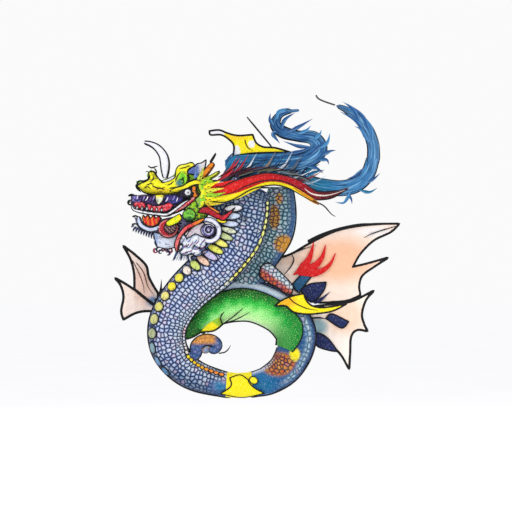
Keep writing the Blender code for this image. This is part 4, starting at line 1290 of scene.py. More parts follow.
def build_mane_ground():
    """The padded ground of the mane, between the plume and the red streamer."""
    back = outline([(-104, 470), (-84, 506), (-60, 512)], [(40, 500), (150, 506), (196, 520)],
                   [(176, 470), (190, 430), (206, 408)], [(130, 436), (46, 452), (-40, 440), (-132, 424)])
    ground = flat_patch(back, MANE_Y, 6, 16, under=2)
    colour = ramp(ground.x, (-130, rgb(90, 30, 60)), (-90, rgb(30, 90, 140)), (-40, rgb(70, 80, 110)),
                  (60, rgb(90, 100, 104)), (120, DENIM), (200, rgb(60, 110, 160)))
    show("mane_ground", ground.paint(colour, 1.0), "hair", "root")


def build_mane_strands():
    """The loose strands and spikes of the mane, and its black lines."""
    colours = (rgb(226, 230, 240), rgb(30, 84, 150), rgb(120, 116, 96), DENIM, rgb(140, 20, 44),
               rgb(180, 196, 220), DENIM, INK)
    groups = []
    for number in range(30):
        start = (-128 + 8.6 * number, 424 + 1.0 * number - 0.045 * number**2)
        end = (start[0] + 84 + 1.6 * number, 500 - 1.6 * number + 9 * math.sin(2.1 * number))
        bend = ((start[0] + end[0]) / 2 + 6, (start[1] + end[1]) / 2 - 9 - 5 * math.cos(1.7 * number))
        lock_colour = colours[number % len(colours)]
        groups.append(strand([start, bend, end], 8, -142 - 4 * (number % 5)).paint(lock_colour, 0.45))
    for line, width, y, tone, share in (
        ([(-132, 420), (-88, 454), (-50, 505)], 14, -192, rgb(206, 30, 40), 0.3),
        ([(-130, 428), (-70, 450), (30, 470), (120, 462)], 15, -188, rgb(70, 10, 34), 0.3),
        ([(-60, 440), (10, 462), (90, 458), (170, 428)], 12, -186, rgb(112, 116, 80), 0.6),
        ([(-96, 462), (-84, 486), (-66, 520)], 26, -150, rgb(20, 120, 170), 0.4),
        ([(90, 452), (150, 444), (214, 404)], 10, -180, rgb(120, 124, 130), 0.6),
    ):
        groups.append(strand(line, width, y).paint(tone, share))
    spikes = ((-122, 440, rgb(200, 30, 40)), (-84, 448, rgb(190, 30, 50)), (-56, 450, rgb(226, 230, 236)),
              (-20, 452, rgb(36, 80, 140)), (10, 456, rgb(150, 130, 110)), (40, 460, rgb(30, 90, 150)),
              (70, 458, rgb(200, 206, 220)), (104, 452, rgb(90, 96, 110)))
    for x, z, tone in spikes:
        line = [(x, z), (x + 32, z + 22), (x + 62, z + 72)]
        groups.append(strand(line, 9, (-178, -150), tips=(0.7, 0.0)).paint(tone, 0.25))
        edge = [(u + 6, v - 4) for u, v in line]
        groups.append(strand(edge, 3.6, (-182, -152), tips=(0.7, 0.0)).paint(INK, 0.0))
    for line in ([(176, 436), (206, 456), (244, 466)], [(166, 440), (190, 466), (228, 486)],
                 [(150, 446), (172, 476), (206, 500)]):
        groups.append(strand(line, 15, -126).paint(rgb(20, 110, 150), 0.7))
    show("mane_strands", joined(groups), "hair", "root")
    for line in ([(-128, 436), (-84, 462), (-40, 492)], [(-70, 450), (-10, 476), (40, 500)],
                 [(-10, 456), (70, 476), (130, 492)], [(60, 458), (120, 462), (176, 452)],
                 [(100, 446), (160, 440), (206, 420)]):
        ink_line("root", line, 4.4, MANE_LINES_Y, tips=(0.7, 0.2))


# ---------------------------------------------------------------- the head
SKULL_LOOP = outline(
    [(-398, 400), (-370, 385), (-330, 379), (-242, 379)],
    [(-221, 362), (-206, 335), (-197, 302), (-178, 300)],
    [(-152, 330), (-141, 380), (-152, 428), (-188, 446)],
    [(-216, 484), (-268, 476), (-284, 446), (-322, 428)],
    [(-345, 438), (-360, 464), (-376, 446), (-372, 428), (-414, 424)],
)
MUZZLE_LOOP = outline(
    [(-424, 368), (-392, 378), (-330, 376), (-244, 380)], [(-228, 362), (-213, 334)],
    [(-255, 322), (-300, 314), (-350, 316), (-405, 326), (-432, 344)],
)
JAW_LOOP = outline(
    [(-396, 286)], [(-344, 284)], [(-318, 294), (-262, 306), (-235, 311), (-217, 300)],
    [(-224, 276), (-262, 240), (-302, 226), (-332, 233), (-350, 246), (-385, 250), (-408, 266),
     (-420, 302)],
)
HORN = [
    (-312, 434, 4, 6), (-312, 463, 11, 8), (-313, 490, 13, 9), (-319, 514, 12, 8), (-336, 537, 10, 6),
    (-359, 552, 6, 5), (-387, 560, 2, 2),
]
EYE_AT = (-232, 384)
CHEEK = 51             # how far the frill, cheeks and beard lie from the middle of the head
PEN = 0.62             # the radius of a black line on the head, as a share of its drawn width


def skull_side(x, z):
    """Half the thickness of the head at a point of the picture plane."""
    skull = SKULL_HALF * dome(inside_distance(x, z, SKULL_LOOP), 30)
    return np.maximum(skull, MUZZLE_HALF * dome(inside_distance(x, z, MUZZLE_LOOP), 22))


def brow_side(x, z):
    """How far the face of the padded brow is from the middle of the head."""
    return skull_side(x, z) + 5.5


def jaw_side(x, z):
    """Half the thickness of the jaw at a point of the picture plane."""
    return JAW_HALF * dome(inside_distance(x, z, JAW_LOOP), 20)


def mirrored(shape):
    """The same shape on the other side of the head."""
    made = Shape(shape.points * (1, -1, 1) + (0, 2 * HEAD_Y, 0), [g[:, ::-1] for g in shape.faces],
                 shape.flow)
    made.tint = shape.tint
    return made


def volume(loop, side, least=3.0, step=4.0):
    """A stuffed body, the same on both sides of the middle of the head."""
    def place(x, z, height):
        return np.column_stack([x, HEAD_Y - height, z])

    def near_face(x, z, distance):
        return np.maximum(side(x, z), least)

    def far_face(x, z, distance):
        return -near_face(x, z, distance)

    return patch(loop, place, near_face, far_face, step)


def feature(body, loop, colour, side, rise=4.0, width=7.0, line=3.6, pattern=0.6, lift=SEW):
    """A padded feature sewn on each side of the head, with its black edge. side is its distance from the
    middle of the head, a number or side(x, z). colour is one colour or colour(x, z, distance inside)."""
    def front(x, z):
        reach = side(x, z) if callable(side) else side
        return HEAD_Y - lift - reach + np.zeros(np.shape(x))
    shape = flat_patch(loop, front, rise, width, 3.2)
    if callable(colour):
        colour = colour(shape.x, shape.z, shape.distance)
    shape.paint(colour, pattern)
    if line:
        path = np.column_stack([loop[:, 0], front(*loop.T) - 1.2, loop[:, 1]])
        cord = tube(path, PEN * line, closed=True, flat=0.8)
        ink(body, cord)
        ink(body, mirrored(cord))
    return shape


def show_pair(name, shapes, look, body, stands_for=()):
    """Shows shapes together with their mirror images on the far side of the head."""
    both = [*shapes, *(mirrored(shape) for shape in shapes)]
    return show(name, joined(both), look, body, stands_for)


def curl(body, points, width, side, tips=(0.9, 0.2), colour=INK):
    """A black hook or curl on each side of the head."""
    line = curve(points, 2.5)
    radius = np.maximum(PEN * width * pen_share(len(line), tips), 0.5)
    path = at_depth(line, side) * (1, -1, 1) + (0, HEAD_Y - 2, 0)
    cord = tube(path, radius, flat=0.8).paint(colour)
    ink(body, cord)
    ink(body, mirrored(cord))


def spiral(middle, radius, turns=1.6, start=0.0):
    """Points of a spiral that winds inward."""
    t = np.linspace(0, 1, 18)
    angle = math.radians(start) + t * turns * math.tau
    reach = radius * (1 - 0.85 * t)
    return [(middle[0] + r * math.cos(a), middle[1] + r * math.sin(a)) for r, a in zip(reach, angle)]


def skull_colour(x, z, distance):
    """The colour of the snout and brow, with painted shade over the yellow."""
    colour = np.broadcast_to(rgb(252, 244, 24), (len(x), 3))
    # painted shade: an orange streak along the snout's lower edge, and green and teal patches on the crest
    colour = mixed(colour, ORANGE, 0.3 * near(x, z, (-325, 392), (46, 14)))
    colour = mixed(colour, rgb(120, 220, 40), 0.95 * near(x, z, (-250, 430), (26, 38)))
    colour = mixed(colour, TEAL, 0.9 * near(x, z, (-262, 416), (18, 18)))
    colour = mixed(colour, GREEN, 0.4 * near(x, z, (-250, 440), (10, 26)))
    # random darker ochre strokes
    stroke = mottle(x, z, 17, 1.0)
    colour = mixed(colour, rgb(196, 160, 10), 0.25 * step_up(stroke, 0.35, 0.8))
    # painted shade: a dark olive strip at the crest's right edge
    return mixed(colour, rgb(60, 90, 20), 0.55 * near(x, z, (-222, 440), (9, 40)))


def frill_colour(x, z, distance):
    """The colour of the collar."""
    colour = np.broadcast_to(rgb(246, 244, 40), (len(x), 3))
    colour = mixed(colour, rgb(150, 226, 50), step_up(mottle(x, z, 26, 2.0), 0.0, 0.5))
    return mixed(colour, rgb(60, 160, 90), 0.7 * near(x, z, (-196, 360), (12, 70)))


def build_skull():
    """The stuffed body of the head."""
    core = volume(SKULL_LOOP, skull_side).paint(rgb(120, 170, 30), 1.0)
    show("head_core", core, "silk", "head", ["skull_shell"])


def build_brow():
    """The yellow snout, brow ridge and cheekbone."""
    snout = outline(
        [(-400, 400), (-388, 387), (-364, 379), (-314, 373), (-280, 377), (-256, 382), (-236, 404)],
        [(-228, 430), (-232, 460), (-208, 476)],
        [(-220, 489), (-242, 482), (-262, 478), (-273, 462), (-276, 438), (-292, 428), (-320, 417)],
        [(-337, 436), (-352, 458), (-368, 452)], [(-364, 436), (-378, 422), (-411, 410)],
    )
    shapes = [feature("head", snout, skull_colour, skull_side, 5, 12, 5.0)]
    ridge = band([(-292, 390), (-270, 394), (-248, 400), (-221, 415), (-196, 420), (-176, 406)], 17,
                 taper=(0.3, 0.6))
    shapes.append(feature("head", ridge, rgb(252, 238, 20), skull_side, 7, 8, 4.6, lift=3))
    cheekbone = outline([(-204, 404), (-196, 372)], [(-210, 366), (-218, 380), (-218, 404)])
    shapes.append(feature("head", cheekbone, ORANGE, skull_side, 4, 7, 2.6, lift=3))
    show_pair("brow_and_snout", shapes, "silk", "head")


def build_crown():
    """The pale tufts and the orange spike on top of the head."""
    hatch = band([(-322, 421), (-300, 427), (-276, 440)], 9, taper=(0.3, 0.5))
    rear = outline([(-205, 482), (-186, 488), (-170, 499)], [(-172, 480), (-180, 456), (-188, 446)],
                   [(-214, 446), (-238, 452)])

    def blue(x, z, d):
        return mixed(rgb(90, 112, 190), WHITE, step_up(x, -212, -184))

    pale = [feature("head", hatch, WHITE, skull_side, 3, 4, 2.4, lift=4),
            feature("head", rear, blue, skull_side, 4, 8, 4.0)]
    show_pair("head_blue_tufts", pale, "silk", "head")
    spike = outline([(-183, 452), (-152, 488)], [(-142, 480), (-174, 436), (-186, 432)])
    show_pair("orange_spike", [feature("head", spike, ORANGE, 40, 4, 6, 3.0)], "silk", "head")


def draw_brow_lines():
    """The black hooks and strokes on the brow."""
    curl("head", [(-156, 488), (-146, 504), (-135, 522)], 5, 40, tips=(1, 0.5))
    curl("head", [(-411, 412), (-402, 424), (-385, 424), (-370, 432), (-366, 446), (-372, 458),
                  (-382, 456)], 6, skull_side)
    curl("head", [(-413, 414), (-410, 402), (-396, 386)], 7, skull_side)
    curl("head", [(-372, 478), (-360, 471), (-348, 474), (-336, 478)], 4, 6)
    curl("head", [(-350, 470), (-343, 458), (-345, 444)], 4, 6)
    for line in (
        [(-386, 398), (-372, 404), (-360, 396)], [(-340, 392), (-328, 399), (-312, 392)],
        [(-304, 408), (-290, 414), (-280, 424)], [(-276, 420), (-268, 440), (-256, 456)],
        [(-262, 466), (-244, 470), (-224, 476)], [(-238, 414), (-232, 432), (-236, 448)],
        [(-362, 420), (-352, 430), (-350, 444)], [(-376, 408), (-362, 414), (-348, 412)],
        [(-252, 412), (-246, 422), (-252, 436)], [(-270, 396), (-258, 388), (-244, 392)],
        [(-206, 396), (-198, 404), (-196, 414)], [(-262, 430), (-252, 428), (-244, 438)],
    ):
        curl("head", line, 3.2, brow_side, tips=(0.3, 0.5))
    curl("head", [(-356, 408), (-340, 400), (-322, 398), (-308, 404)], 3.6, brow_side)
    curl("head", [(-296, 398), (-268, 402), (-247, 408), (-222, 422), (-198, 427), (-180, 420)], 4,
         brow_side)


def build_frill():
    """The spiked collar behind the cheek, with its strand."""
    runs = [
        [(-188, 380), (-196, 404), (-186, 432)], [(-160, 430), (-140, 424)], [(-152, 410), (-150, 400)],
        [(-136, 398), (-122, 388)], [(-142, 380), (-150, 372)], [(-142, 360), (-144, 350)],
        [(-160, 352), (-172, 346)], [(-182, 332), (-196, 328)], [(-200, 344), (-206, 360)],
    ]
    frill = feature("head", outline(*runs), frill_colour, CHEEK, 5, 9, 3.0)
    twig = feature("head", band([(-180, 430), (-150, 440), (-122, 458)], 9, taper=(1, 0.1)),
                   rgb(214, 220, 60), CHEEK, 3, 4, 2.4)
    show_pair("frill", [frill, twig], "silk", "head", ["mane_collar"])


def build_cheek_fin():
    """The red fin behind the jaw."""
    fin = outline([(-182, 332), (-156, 332), (-130, 314), (-108, 306), (-68, 332)],
                  [(-94, 298), (-112, 284)], [(-136, 296), (-166, 310), (-198, 314)])

    def red(x, z, d):
        return mixed(CRIMSON, rgb(226, 40, 60), step_up(x, -140, -90))

    show_pair("cheek_fin", [feature("head", fin, red, CHEEK + 4, 4, 9, 3.4)], "silk", "head")


def build_collar_rays():
    """The pointed rays that stand out from the collar."""
    rays = []
    for line, colour in (
        ([(-176, 396), (-150, 410), (-118, 424)], YELLOW),
        ([(-170, 384), (-140, 392), (-104, 398)], rgb(230, 230, 60)),
        ([(-170, 372), (-138, 374), (-100, 384)], LIME), ([(-172, 362), (-140, 360), (-98, 366)], YELLOW),
        ([(-176, 352), (-150, 344), (-110, 346)], rgb(220, 200, 30)),
        ([(-186, 410), (-168, 424), (-148, 442)], LIME),
        ([(-196, 424), (-184, 446), (-176, 472)], rgb(200, 210, 60)),
        ([(-206, 430), (-200, 452), (-196, 478)], rgb(90, 130, 190)),
    ):
        ray = strand(line, 14, RAYS_Y, tips=(1, 0.05), depth=0.3)
        rays.append(ray.paint(colour, 0.9))
    show_pair("collar_rays", rays, "silk", "head")


def build_cheek_fin_edges():
    """The coloured edges of the cheek fin, and the hooks on the collar."""
    edges = [
        feature("head", band([(-168, 342), (-144, 326), (-118, 310)], 8, taper=(0.4, 0.2)), ORANGE,
                CHEEK + 6, 3, 4, 2.4),
        feature("head", band([(-132, 290), (-114, 282), (-96, 284)], 8, taper=(0.4, 0.2)), YELLOW,
                CHEEK + 6, 3, 4, 2.4),
    ]
    show_pair("cheek_fin_edges", edges, "silk", "head")
    for line in ([(-148, 394), (-132, 390), (-120, 396)], [(-146, 372), (-134, 366), (-124, 356)],
                 [(-168, 352), (-160, 340), (-146, 334)], [(-196, 404), (-204, 392), (-200, 374)]):
        curl("head", line, 4, CHEEK + 4, tips=(0.4, 0.6))


def build_muzzle():
    """The dark inside of the upper mouth."""
    dark = volume(MUZZLE_LOOP, skull_side).paint(rgb(52, 30, 80))
    show("mouth_lining", dark, "silk", "head", ["muzzle"])
    side = MUZZLE_HALF
    purple = outline([(-256, 378), (-244, 370)], [(-256, 350), (-288, 344), (-310, 354), (-310, 376)])

    def violet(x, z, d):
        return mixed(rgb(46, 46, 130), INK, 0.7 * step_up(mottle(x, z, 18), 0.0, 0.5))

    lining = [feature("head", purple, violet, side, 3, 7, 2.6)]
    nose = outline([(-410, 374), (-394, 362), (-398, 350), (-424, 352), (-428, 372)])
    lining.append(feature("head", nose, rgb(96, 88, 160), side, 4, 8, 2.8))
    show_pair("mouth_shadows", lining, "silk", "head")


def build_gums():
    """The gums and the streaked corner of the lip."""
    side = MUZZLE_HALF
    front_gum = outline([(-402, 354), (-382, 348)], [(-378, 334), (-398, 328), (-418, 338), (-420, 350)])
    rear_gum = outline([(-348, 338), (-318, 342), (-294, 352)],
                       [(-284, 338), (-302, 320), (-338, 316), (-372, 326), (-372, 346)])

    def gum(x, z, d):
        return mixed(rgb(214, 30, 50), rgb(240, 130, 140), step_up(mottle(x, z, 12, 3.0), 0.1, 0.6))

    lip = outline([(-255, 324), (-208, 355)], [(-206, 368), (-216, 370)],
                  [(-240, 358), (-282, 330), (-300, 306)])

    def streaky(x, z, d):
        return mixed(rgb(216, 40, 56), rgb(246, 190, 196),
                     step_up(mottle(x - z, x * 0.2, 11, 1.0), 0.0, 0.5))

    reds = [feature("head", front_gum, gum, side, 4, 6, 2.6),
            feature("head", rear_gum, gum, side, 4, 7, 2.6),
            feature("head", lip, streaky, side + 6, 4, 8, 3.2)]
    show_pair("gums_and_lip", reds, "silk", "head")


def build_lip_and_teeth():
    """The white lip, the fang and the row of teeth."""
    side = MUZZLE_HALF
    lip_line = [(-426, 340), (-418, 325), (-380, 315), (-340, 310), (-306, 308), (-286, 318), (-262, 336),
                (-240, 352), (-222, 362)]
    whites = [feature("head", band(lip_line, 9, taper=(0.5, 0.3)), WHITE, side + 9, 4, 4.5, 3.2)]
    fang = outline([(-316, 376), (-320, 356), (-332, 340)], [(-342, 352), (-345, 376)])

    def tusk(x, z, d):
        return mixed(rgb(226, 230, 206), YELLOW, step_up(z, 360, 374))

    whites.append(feature("head", fang, tusk, side + 3, 5, 8, 3.2))
    for number in range(6):
        x = -408 + 17 * number
        z = 331 - 1.6 * number
        tooth = outline([(x + 5, z - 5)], [(x + 1, z + 11)], [(x - 5, z - 4)], step=2.0)
        whites.append(feature("head", tooth, WHITE, side + 4, 3, 4, 2.0))
    show_pair("lip_and_teeth", whites, "silk", "head")


def draw_mouth_lines():
    """The hooks and whiskers on the upper mouth."""
    side = MUZZLE_HALF
    curl("head", spiral((-433, 349), 10, 1.5, 60), 4.4, 14)
    curl("head", [(-440, 372), (-428, 378), (-414, 372), (-402, 360)], 4.4, 24)
    for number in range(15):
        x = -416 + 11.5 * number
        z = 371 + 3 * math.sin(2.3 * number)
        tone = (rgb(150, 140, 206), rgb(226, 220, 240), rgb(90, 60, 150))[number % 3]
        curl("head", [(x, z), (x - 3, z - 9), (x - 8 + 3 * math.sin(number), z - 17)], 3.2, side + 2,
             tips=(1, 0.2), colour=tone)
    curl("head", [(-424, 366), (-410, 356), (-396, 362), (-380, 358)], 3.4, side + 2)


def build_jaw():
    """The stuffed jaw with its pale lip and chin."""
    core = volume(JAW_LOOP, jaw_side).paint(rgb(120, 120, 160), 1.0)
    show("jaw_core", core, "silk", "jaw", ["jaw_shell"])
    side = JAW_HALF
    bowl = band([(-404, 300), (-398, 276), (-378, 260), (-356, 256), (-330, 266), (-314, 290)], 14,
                taper=(0.5, 0.6))
    chin = outline([(-346, 220), (-338, 196)], [(-306, 190), (-278, 194)],
                   [(-272, 222), (-258, 246)], [(-300, 236), (-352, 248)])

    def pale(x, z, d):
        return mixed(rgb(214, 222, 240), rgb(150, 172, 214), near(x, z, (-345, 225), (16, 40)))

    rear = feature("jaw", chin, pale, 26, 6, 14, 3.0)
    show_pair("jaw_lip_and_chin", [feature("jaw", bowl, ICE, side, 5, 6, 3.4), rear], "silk", "jaw")


def build_tongue():
    """The flame-edged tongue."""
    side = JAW_HALF
    tongue = outline(
        [(-382, 276), (-360, 267), (-338, 274), (-326, 296)], [(-334, 304)],
        [(-344, 294)], [(-352, 306)], [(-362, 294)], [(-372, 307)],
        [(-381, 297)], [(-388, 307)], [(-390, 296)],
    )

    def flames(x, z, d):
        return mixed(rgb(216, 26, 40), ORANGE, step_up(np.sin(x * 0.42 + 0.6 * np.sin(z * 0.2)), 0.1, 0.7))

    show_pair("tongue_flames", [feature("jaw", tongue, flames, side - 3, 4, 8, 2.8)], "silk", "jaw",
              ["tongue"])


def build_mouth_corner():
    """The red ring and the yellow lobe at the corner of the mouth."""
    side = JAW_HALF

    def lipped(x, z, d):
        return mixed(CRIMSON, rgb(240, 150, 150), 0.8 * (1 - step_up(d, 3, 8)) * step_up(d, 0, 3))

    ring = feature("jaw", blob((-300, 260), (35, 32)), lipped, side + 2, 6, 10, 3.6)

    def well(x, z, d):
        return mixed(rgb(44, 20, 50), rgb(196, 150, 140), step_up(np.sin(0.5 * (x + z)), 0.4, 0.9))

    hole = feature("jaw", blob((-293, 262), (21, 20)), well, side + 8, 2, 5, 3.0)
    show_pair("mouth_corner_ring", [ring, hole], "silk", "jaw")
    lobe = outline([(-286, 296), (-260, 310)], [(-253, 294), (-266, 278)],
                   [(-294, 268), (-306, 272), (-306, 282)])

    def limed(x, z, d):
        return mixed(YELLOW, LIME, step_up(mottle(x, z, 14), 0.1, 0.6))

    yellow = feature("jaw", lobe, limed, side + 14, 5, 7, 3.0)
    show_pair("mouth_corner_lobe", [yellow], "silk", "jaw")


def build_jaw_spikes():
    """The row of dark bristles along the front of the jaw."""
    spikes = []
    for number in range(9):
        t = number / 8
        root = (-412 + 66 * t, 268 - 22 * t)
        tip = (root[0] - 12 + 8 * t, root[1] - 20 - 7 * t)
        spikes.append(strand([root, ((root[0] + tip[0]) / 2 - 3, (root[1] + tip[1]) / 2), tip], 6.5,
                             HEAD_Y - 24, tips=(1, 0.1)))
    for root, tip in (((-346, 222), (-338, 192)), ((-420, 272), (-428, 262))):
        spikes.append(strand([root, ((root[0] + tip[0]) / 2 - 4, (root[1] + tip[1]) / 2), tip], 6,
                             HEAD_Y - 24, tips=(1, 0.1)))
    for shape in spikes:
        shape.paint(rgb(44, 34, 70), 0.4)
    show_pair("jaw_spikes", spikes, "hair", "jaw")


def draw_jaw_lines():
    """The black hooks on the lip of the jaw."""
    curl("jaw", [(-426, 300), (-414, 304), (-406, 296), (-404, 280), (-402, 262)], 4.6, 20)
    curl("jaw", [(-428, 274), (-414, 276), (-402, 266)], 4.2, 20)
    curl("jaw", [(-402, 264), (-388, 254), (-366, 250), (-348, 250)], 4.0, 26)


def build_goatee():
    """The curly tuft under the chin."""
    tuft = []
    for number in range(7):
        x = -344 + 8.2 * number
        tuft.append(strand(spiral((x, 182 + 5 * math.sin(2.2 * number)), 10, 1.1, 90 - 40 * number), 6,
                           HEAD_Y - 22 - 2 * (number % 3), tips=(0.8, 0.3)))
        tuft[-1].paint(rgb(50, 26, 60) if number % 3 else rgb(150, 30, 60), 0.3)
    show_pair("goatee", tuft, "hair", "jaw")


def build_cheek():
    """The green cheek with its round ball."""

    def green_mottled_shaded_below(x, z, d):
        # painted shade: the ball turns dark green towards its bottom; the mottle adds random darker patches
        dark = near(x, z, (-228, 286), (26, 18)) + 0.8 * step_up(mottle(x, z, 18), 0.3, 0.7)
        return mixed(rgb(120, 200, 60), rgb(6, 90, 40), np.clip(dark, 0, 1))

    ball = feature("head", blob((-227, 306), (22, 21)), green_mottled_shaded_below, CHEEK, 7, 14, 3.6)
    back = outline([(-244, 322), (-214, 352), (-196, 362)], [(-176, 352), (-158, 334)],
                   [(-166, 306), (-184, 284), (-236, 286)])

    def leafy(x, z, d):
        green = mixed(LIME, FOREST, step_up(mottle(x, z, 22, 5.0), -0.2, 0.5))
        return mixed(green, YELLOW, 0.7 * step_up(mottle(x, z, 15, 2.0), 0.4, 0.8))

    show_pair("cheek_cloth", [feature("head", back, leafy, CHEEK - 9, 4, 8, 3.6)], "silk", "head")
    show_pair("cheek_ball", [ball], "silk", "head", ["cheek_plate_near", "cheek_plate_far"])


def build_moustache():
    """The red strand that runs down from the cheek."""
    line = [(-176, 292), (-211, 274), (-236, 262), (-258, 236), (-270, 205), (-270, 180)]

    def warm(x, z, d):
        return ramp(x, (-262, rgb(232, 110, 110)), (-225, rgb(222, 50, 60)), (-190, ORANGE))

    show_pair("moustache", [feature("head", band(line, 14, taper=(0.5, 0.4)), warm, CHEEK + 10, 4, 6, 3.8)],
              "silk", "head")


def build_beard():
    """The white scroll and pads of the beard."""
    curl_line = [(-186, 286), (-160, 290), (-136, 278), (-124, 256), (-130, 230), (-152, 216), (-180, 222),
                 (-208, 240)]

    def lilac(x, z, d):
        # painted shade: the roll is lilac along its edge and white where its padding stands high
        return mixed(rgb(190, 194, 232), WHITE, step_up(d, 2, 7))


    def ringed(x, z, d):
        return mixed(rgb(84, 66, 130), ICE, step_up(np.sin(0.55 * np.hypot(x + 160, z - 255)), 0.2, 0.8))

    def white_with_edge_shade(x, z, d):
        # painted shade: each pad is blue-grey along its edge and white where its padding stands high
        return mixed(rgb(150, 168, 206), rgb(232, 236, 244), step_up(d, 1, 8))

    disc = feature("head", blob((-163, 253), (24, 22)), ringed, CHEEK + 1, 3, 8, 3.0)
    roll = feature("head", band(curl_line, 17, taper=(0.4, 0.3)), lilac, CHEEK + 3, 6, 8, 3.4)
    pads = [roll]
    for middle, half, tilt in (((-196, 214), (30, 20), -35), ((-228, 204), (30, 18), 55),
                               ((-236, 182), (24, 14), 10),
                               ((-206, 182), (24, 15), -30), ((-250, 222), (14, 24), 30)):
        pads.append(feature("head", blob(middle, half, tilt), white_with_edge_shade, CHEEK + 4, 6, 10, 3.8))
    cloth = outline([(-236, 238), (-210, 268), (-178, 280)],
                    [(-158, 262), (-160, 236), (-184, 214), (-250, 196)])

    def pink(x, z, d):
        return mixed(rgb(236, 236, 246), rgb(220, 120, 150), 0.7 * step_up(np.sin(0.5 * (x - z)), 0.5, 0.9))

    pads.append(feature("head", cloth, pink, CHEEK - 6, 4, 8, 3.0))
    show_pair("beard_pads", pads, "silk", "head", ["beard"])
    show_pair("beard_spiral", [disc], "silk", "head")


def draw_beard_lines():
    """The short strokes on the beard and the spiral in its scroll."""
    for number in range(14):
        x = -262 + 7 * number
        z = 200 + 12 * math.sin(1.9 * number)
        tone = (INK, rgb(80, 100, 160), rgb(120, 60, 110))[number % 3]
        curl("head", [(x, z), (x + 8, z + 5), (x + 14, z + 15)], 3.0, CHEEK + 10, tips=(0.4, 0.3),
             colour=tone)
        curl("head", [(x - 4, z - 20), (x + 6, z - 18), (x + 14, z - 10)], 3.0, CHEEK + 9, tips=(0.4, 0.3),
             colour=tone)
    curl("head", spiral((-160, 254), 15, 1.5, 10), 3.6, CHEEK + 5)


def build_beard_wisps():
    """The loose points below the beard."""
    strands = []
    for number in range(8):
        x = -272 + 7 * number
        strands.append(strand([(x + 8, 188), (x - 2, 168), (x - 14 + 2 * number, 146)], 9,
                              HEAD_Y - CHEEK + 2 * (number % 3), tips=(1, 0.1)))
        strands[-1].paint(WHITE if number % 3 else rgb(40, 44, 90), 0.5)
    show_pair("beard_wisps", strands, "hair", "head")


def build_feelers():
    """The two tall white feelers."""
    for name, y in (("near", HEAD_Y - 24), ("far", HEAD_Y + 24)):
        sleeve = Sleeve(at_y(y, HORN))
        skin = sleeve.skin(3.0, closed=(True, True)).paint(rgb(236, 236, 250), 0.0)
        show(f"feeler_{name}", skin, "silk", "head", [f"horn_{name}"])
        ink_along("head", sleeve, 0, 6.5, 0.0, 0.99)
        ink_along("head", sleeve, 180, 6.5, 0.0, 0.99)


def build_eyes():
    """The dark sockets and the white spinner eyes in them."""
    almond = outline([(-250, 392), (-226, 400), (-208, 394)], [(-214, 378), (-232, 368), (-272, 374)])
    socket = feature("head", almond, rgb(26, 20, 44), 49, 1.5, 5, 4.0)
    show_pair("eye_sockets", [socket], "silk", "head")
    eye = flat_patch(blob(EYE_AT, (10, 10), step=2.0), HEAD_Y - 51.5, 6, 9, 1.5, under=0)
    pupil = np.hypot(eye.x - EYE_AT[0] - 1.5, eye.z - EYE_AT[1] + 1)
    colour = mixed(np.broadcast_to(INK, (len(pupil), 3)), WHITE, step_up(pupil, 3.0, 3.9))
    ring = np.exp(-(((pupil - 5.8) / 0.7) ** 2))
    eye.paint(mixed(colour, rgb(120, 130, 150), 0.7 * ring))
    for body, shape, cad in (("near_eye", eye, "eye_near"), ("far_eye", mirrored(eye), "eye_far")):
        show(f"{body}_ball", shape, "silk", body, [cad])


def build_head():
    """All of the head, from the skull outward."""
    build_skull()
    build_brow()
    build_crown()
    draw_brow_lines()
    build_frill()
    build_cheek_fin()
    build_collar_rays()
    build_cheek_fin_edges()
    build_muzzle()
    build_gums()
    build_lip_and_teeth()
    draw_mouth_lines()
    build_jaw()
    build_tongue()
    build_mouth_corner()
    build_jaw_spikes()
    draw_jaw_lines()
    build_goatee()
    build_cheek()
    build_moustache()
    build_beard()
    draw_beard_lines()
    build_beard_wisps()
    build_feelers()
    build_eyes()


# ---------------------------------------------------------------- stage, light and camera, in metres
WORLD_LIGHT = 0.96
KEY_WATTS = 70
FLOOR_Z = -0.74
CAMERA_AT = (0.0035, -7.58, 0.1645)


def build_stage():
    """A pale floor, as bright as the white room behind it, so that the horizon doesn't show."""
    bpy.ops.mesh.primitive_circle_add(vertices=96, radius=40, fill_type="NGON", location=(0, 0, FLOOR_Z))
    floor = bpy.context.object
    floor.name = "floor"
    look = bpy.data.materials.new("pale floor")
    look.use_nodes = True
    tree = look.node_tree
    shader = tree.nodes["Principled BSDF"]
    place = node(tree, "ShaderNodeTexCoord").outputs["Object"]
    cloudy = noise(tree, place, 2.0, 3.0)
    colour = mix(tree, span(tree, cloudy, 0.2, 0.8), rgb(238, 238, 240), rgb(240, 240, 242))
    tree.links.new(colour, shader.inputs["Base Color"])
    shader.inputs["Roughness"].default_value = 0.95
    shader.inputs["Specular IOR Level"].default_value = 0.0
    shader.inputs["Emission Color"].default_value = (1.0, 1.0, 1.0, 1.0)
    shader.inputs["Emission Strength"].default_value = 0.12
    floor.data.materials.append(look)


def build_light(name, place, aim, size, watts):
    """A round area light that looks at a point."""
    light = bpy.data.lights.new(name, "AREA")
    light.shape = "DISK"
    light.size = size
    light.energy = watts
    made = bpy.data.objects.new(name, light)
    made.location = place
    made.rotation_euler = (Vector(aim) - Vector(place)).to_track_quat("-Z", "Y").to_euler()
    bpy.context.scene.collection.objects.link(made)


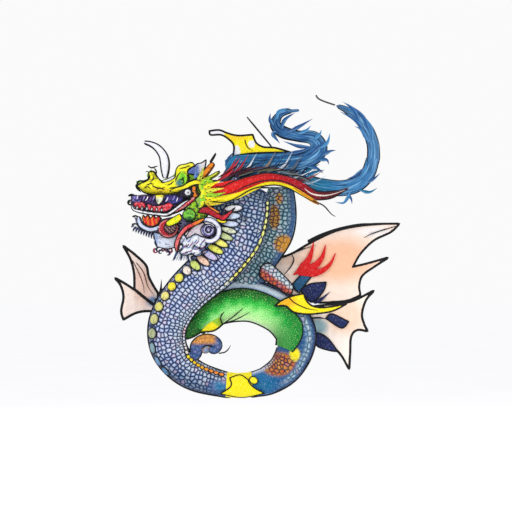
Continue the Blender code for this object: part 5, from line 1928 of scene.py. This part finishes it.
def build_lights():
    """A white room, a big soft key light from the upper left and a low fill."""
    world = bpy.data.worlds.new("white room")
    world.use_nodes = True
    world.node_tree.nodes["Background"].inputs["Color"].default_value = (1.0, 1.0, 1.0, 1.0)
    world.node_tree.nodes["Background"].inputs["Strength"].default_value = WORLD_LIGHT
    bpy.context.scene.world = world
    middle = (0.0, -0.1, 0.2)
    build_light("key", (-2.4, -3.4, 2.8), middle, 2.2, KEY_WATTS)
    build_light("fill", (2.6, -3.2, 0.6), middle, 2.6, KEY_WATTS * 0.35)
    build_light("rear", (-1.6, 3.4, 2.4), middle, 2.0, KEY_WATTS * 0.5)


def build_camera():
    """A straight front view through a long lens."""
    camera = bpy.data.cameras.new("camera")
    camera.lens = 150
    camera.sensor_width = 36
    camera.clip_end = 40
    made = bpy.data.objects.new("camera", camera)
    made.location = CAMERA_AT
    made.rotation_euler = (math.radians(90), 0, 0)
    bpy.context.scene.collection.objects.link(made)
    bpy.context.scene.camera = made
    bpy.context.scene.view_settings.view_transform = "Standard"


# ---------------------------------------------------------------- everything together
FRAME_LOOKS = {
    "carbon": ["spine_spar", "cross_spar", "head_arm", "tail_strut", "left_fin_post", "left_fin_rib",
               "left_hem_tube",
               "wing_post", "wing_rib", "wing_hem_tube", "wing_leading_spar", "lower_fin_post",
               "lower_fin_rib",
               "lower_hem_tube", "tail_whip"],
    "cane": ["belly_hoop", "coil_former_1", "coil_former_2", "ring_former"],
    "moulded": ["hub_block", "hoop_strut_left", "hoop_strut_bottom", "left_fin_fitting", "wing_fitting",
                "lower_fin_fitting", "tow_tab"],
    "steel": ["jaw_pin", "eye_axle", "tow_ring"],
}


def dress_frame():
    """Gives every CAD node that stays in view its material."""
    for look, names in FRAME_LOOKS.items():
        for name in names:
            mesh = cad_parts[name].data
            mesh.materials.clear()
            mesh.materials.append(LOOKS[look])


dress_frame()
coil = build_coil()
build_scutes(coil)
build_chain(coil)
ring = build_ring()
build_belly(ring)
build_belly_tip()
build_saddle()
build_throat()
build_rear_neck()
build_tail_curl()
build_left_fins()
build_wing()
build_lower_fin()
build_hip()
build_plume()
build_dorsal_fin()
build_tail()
build_banners()
build_mane_ground()
build_mane_strands()
build_head()
show_outlines()
build_stage()
build_lights()
build_camera()
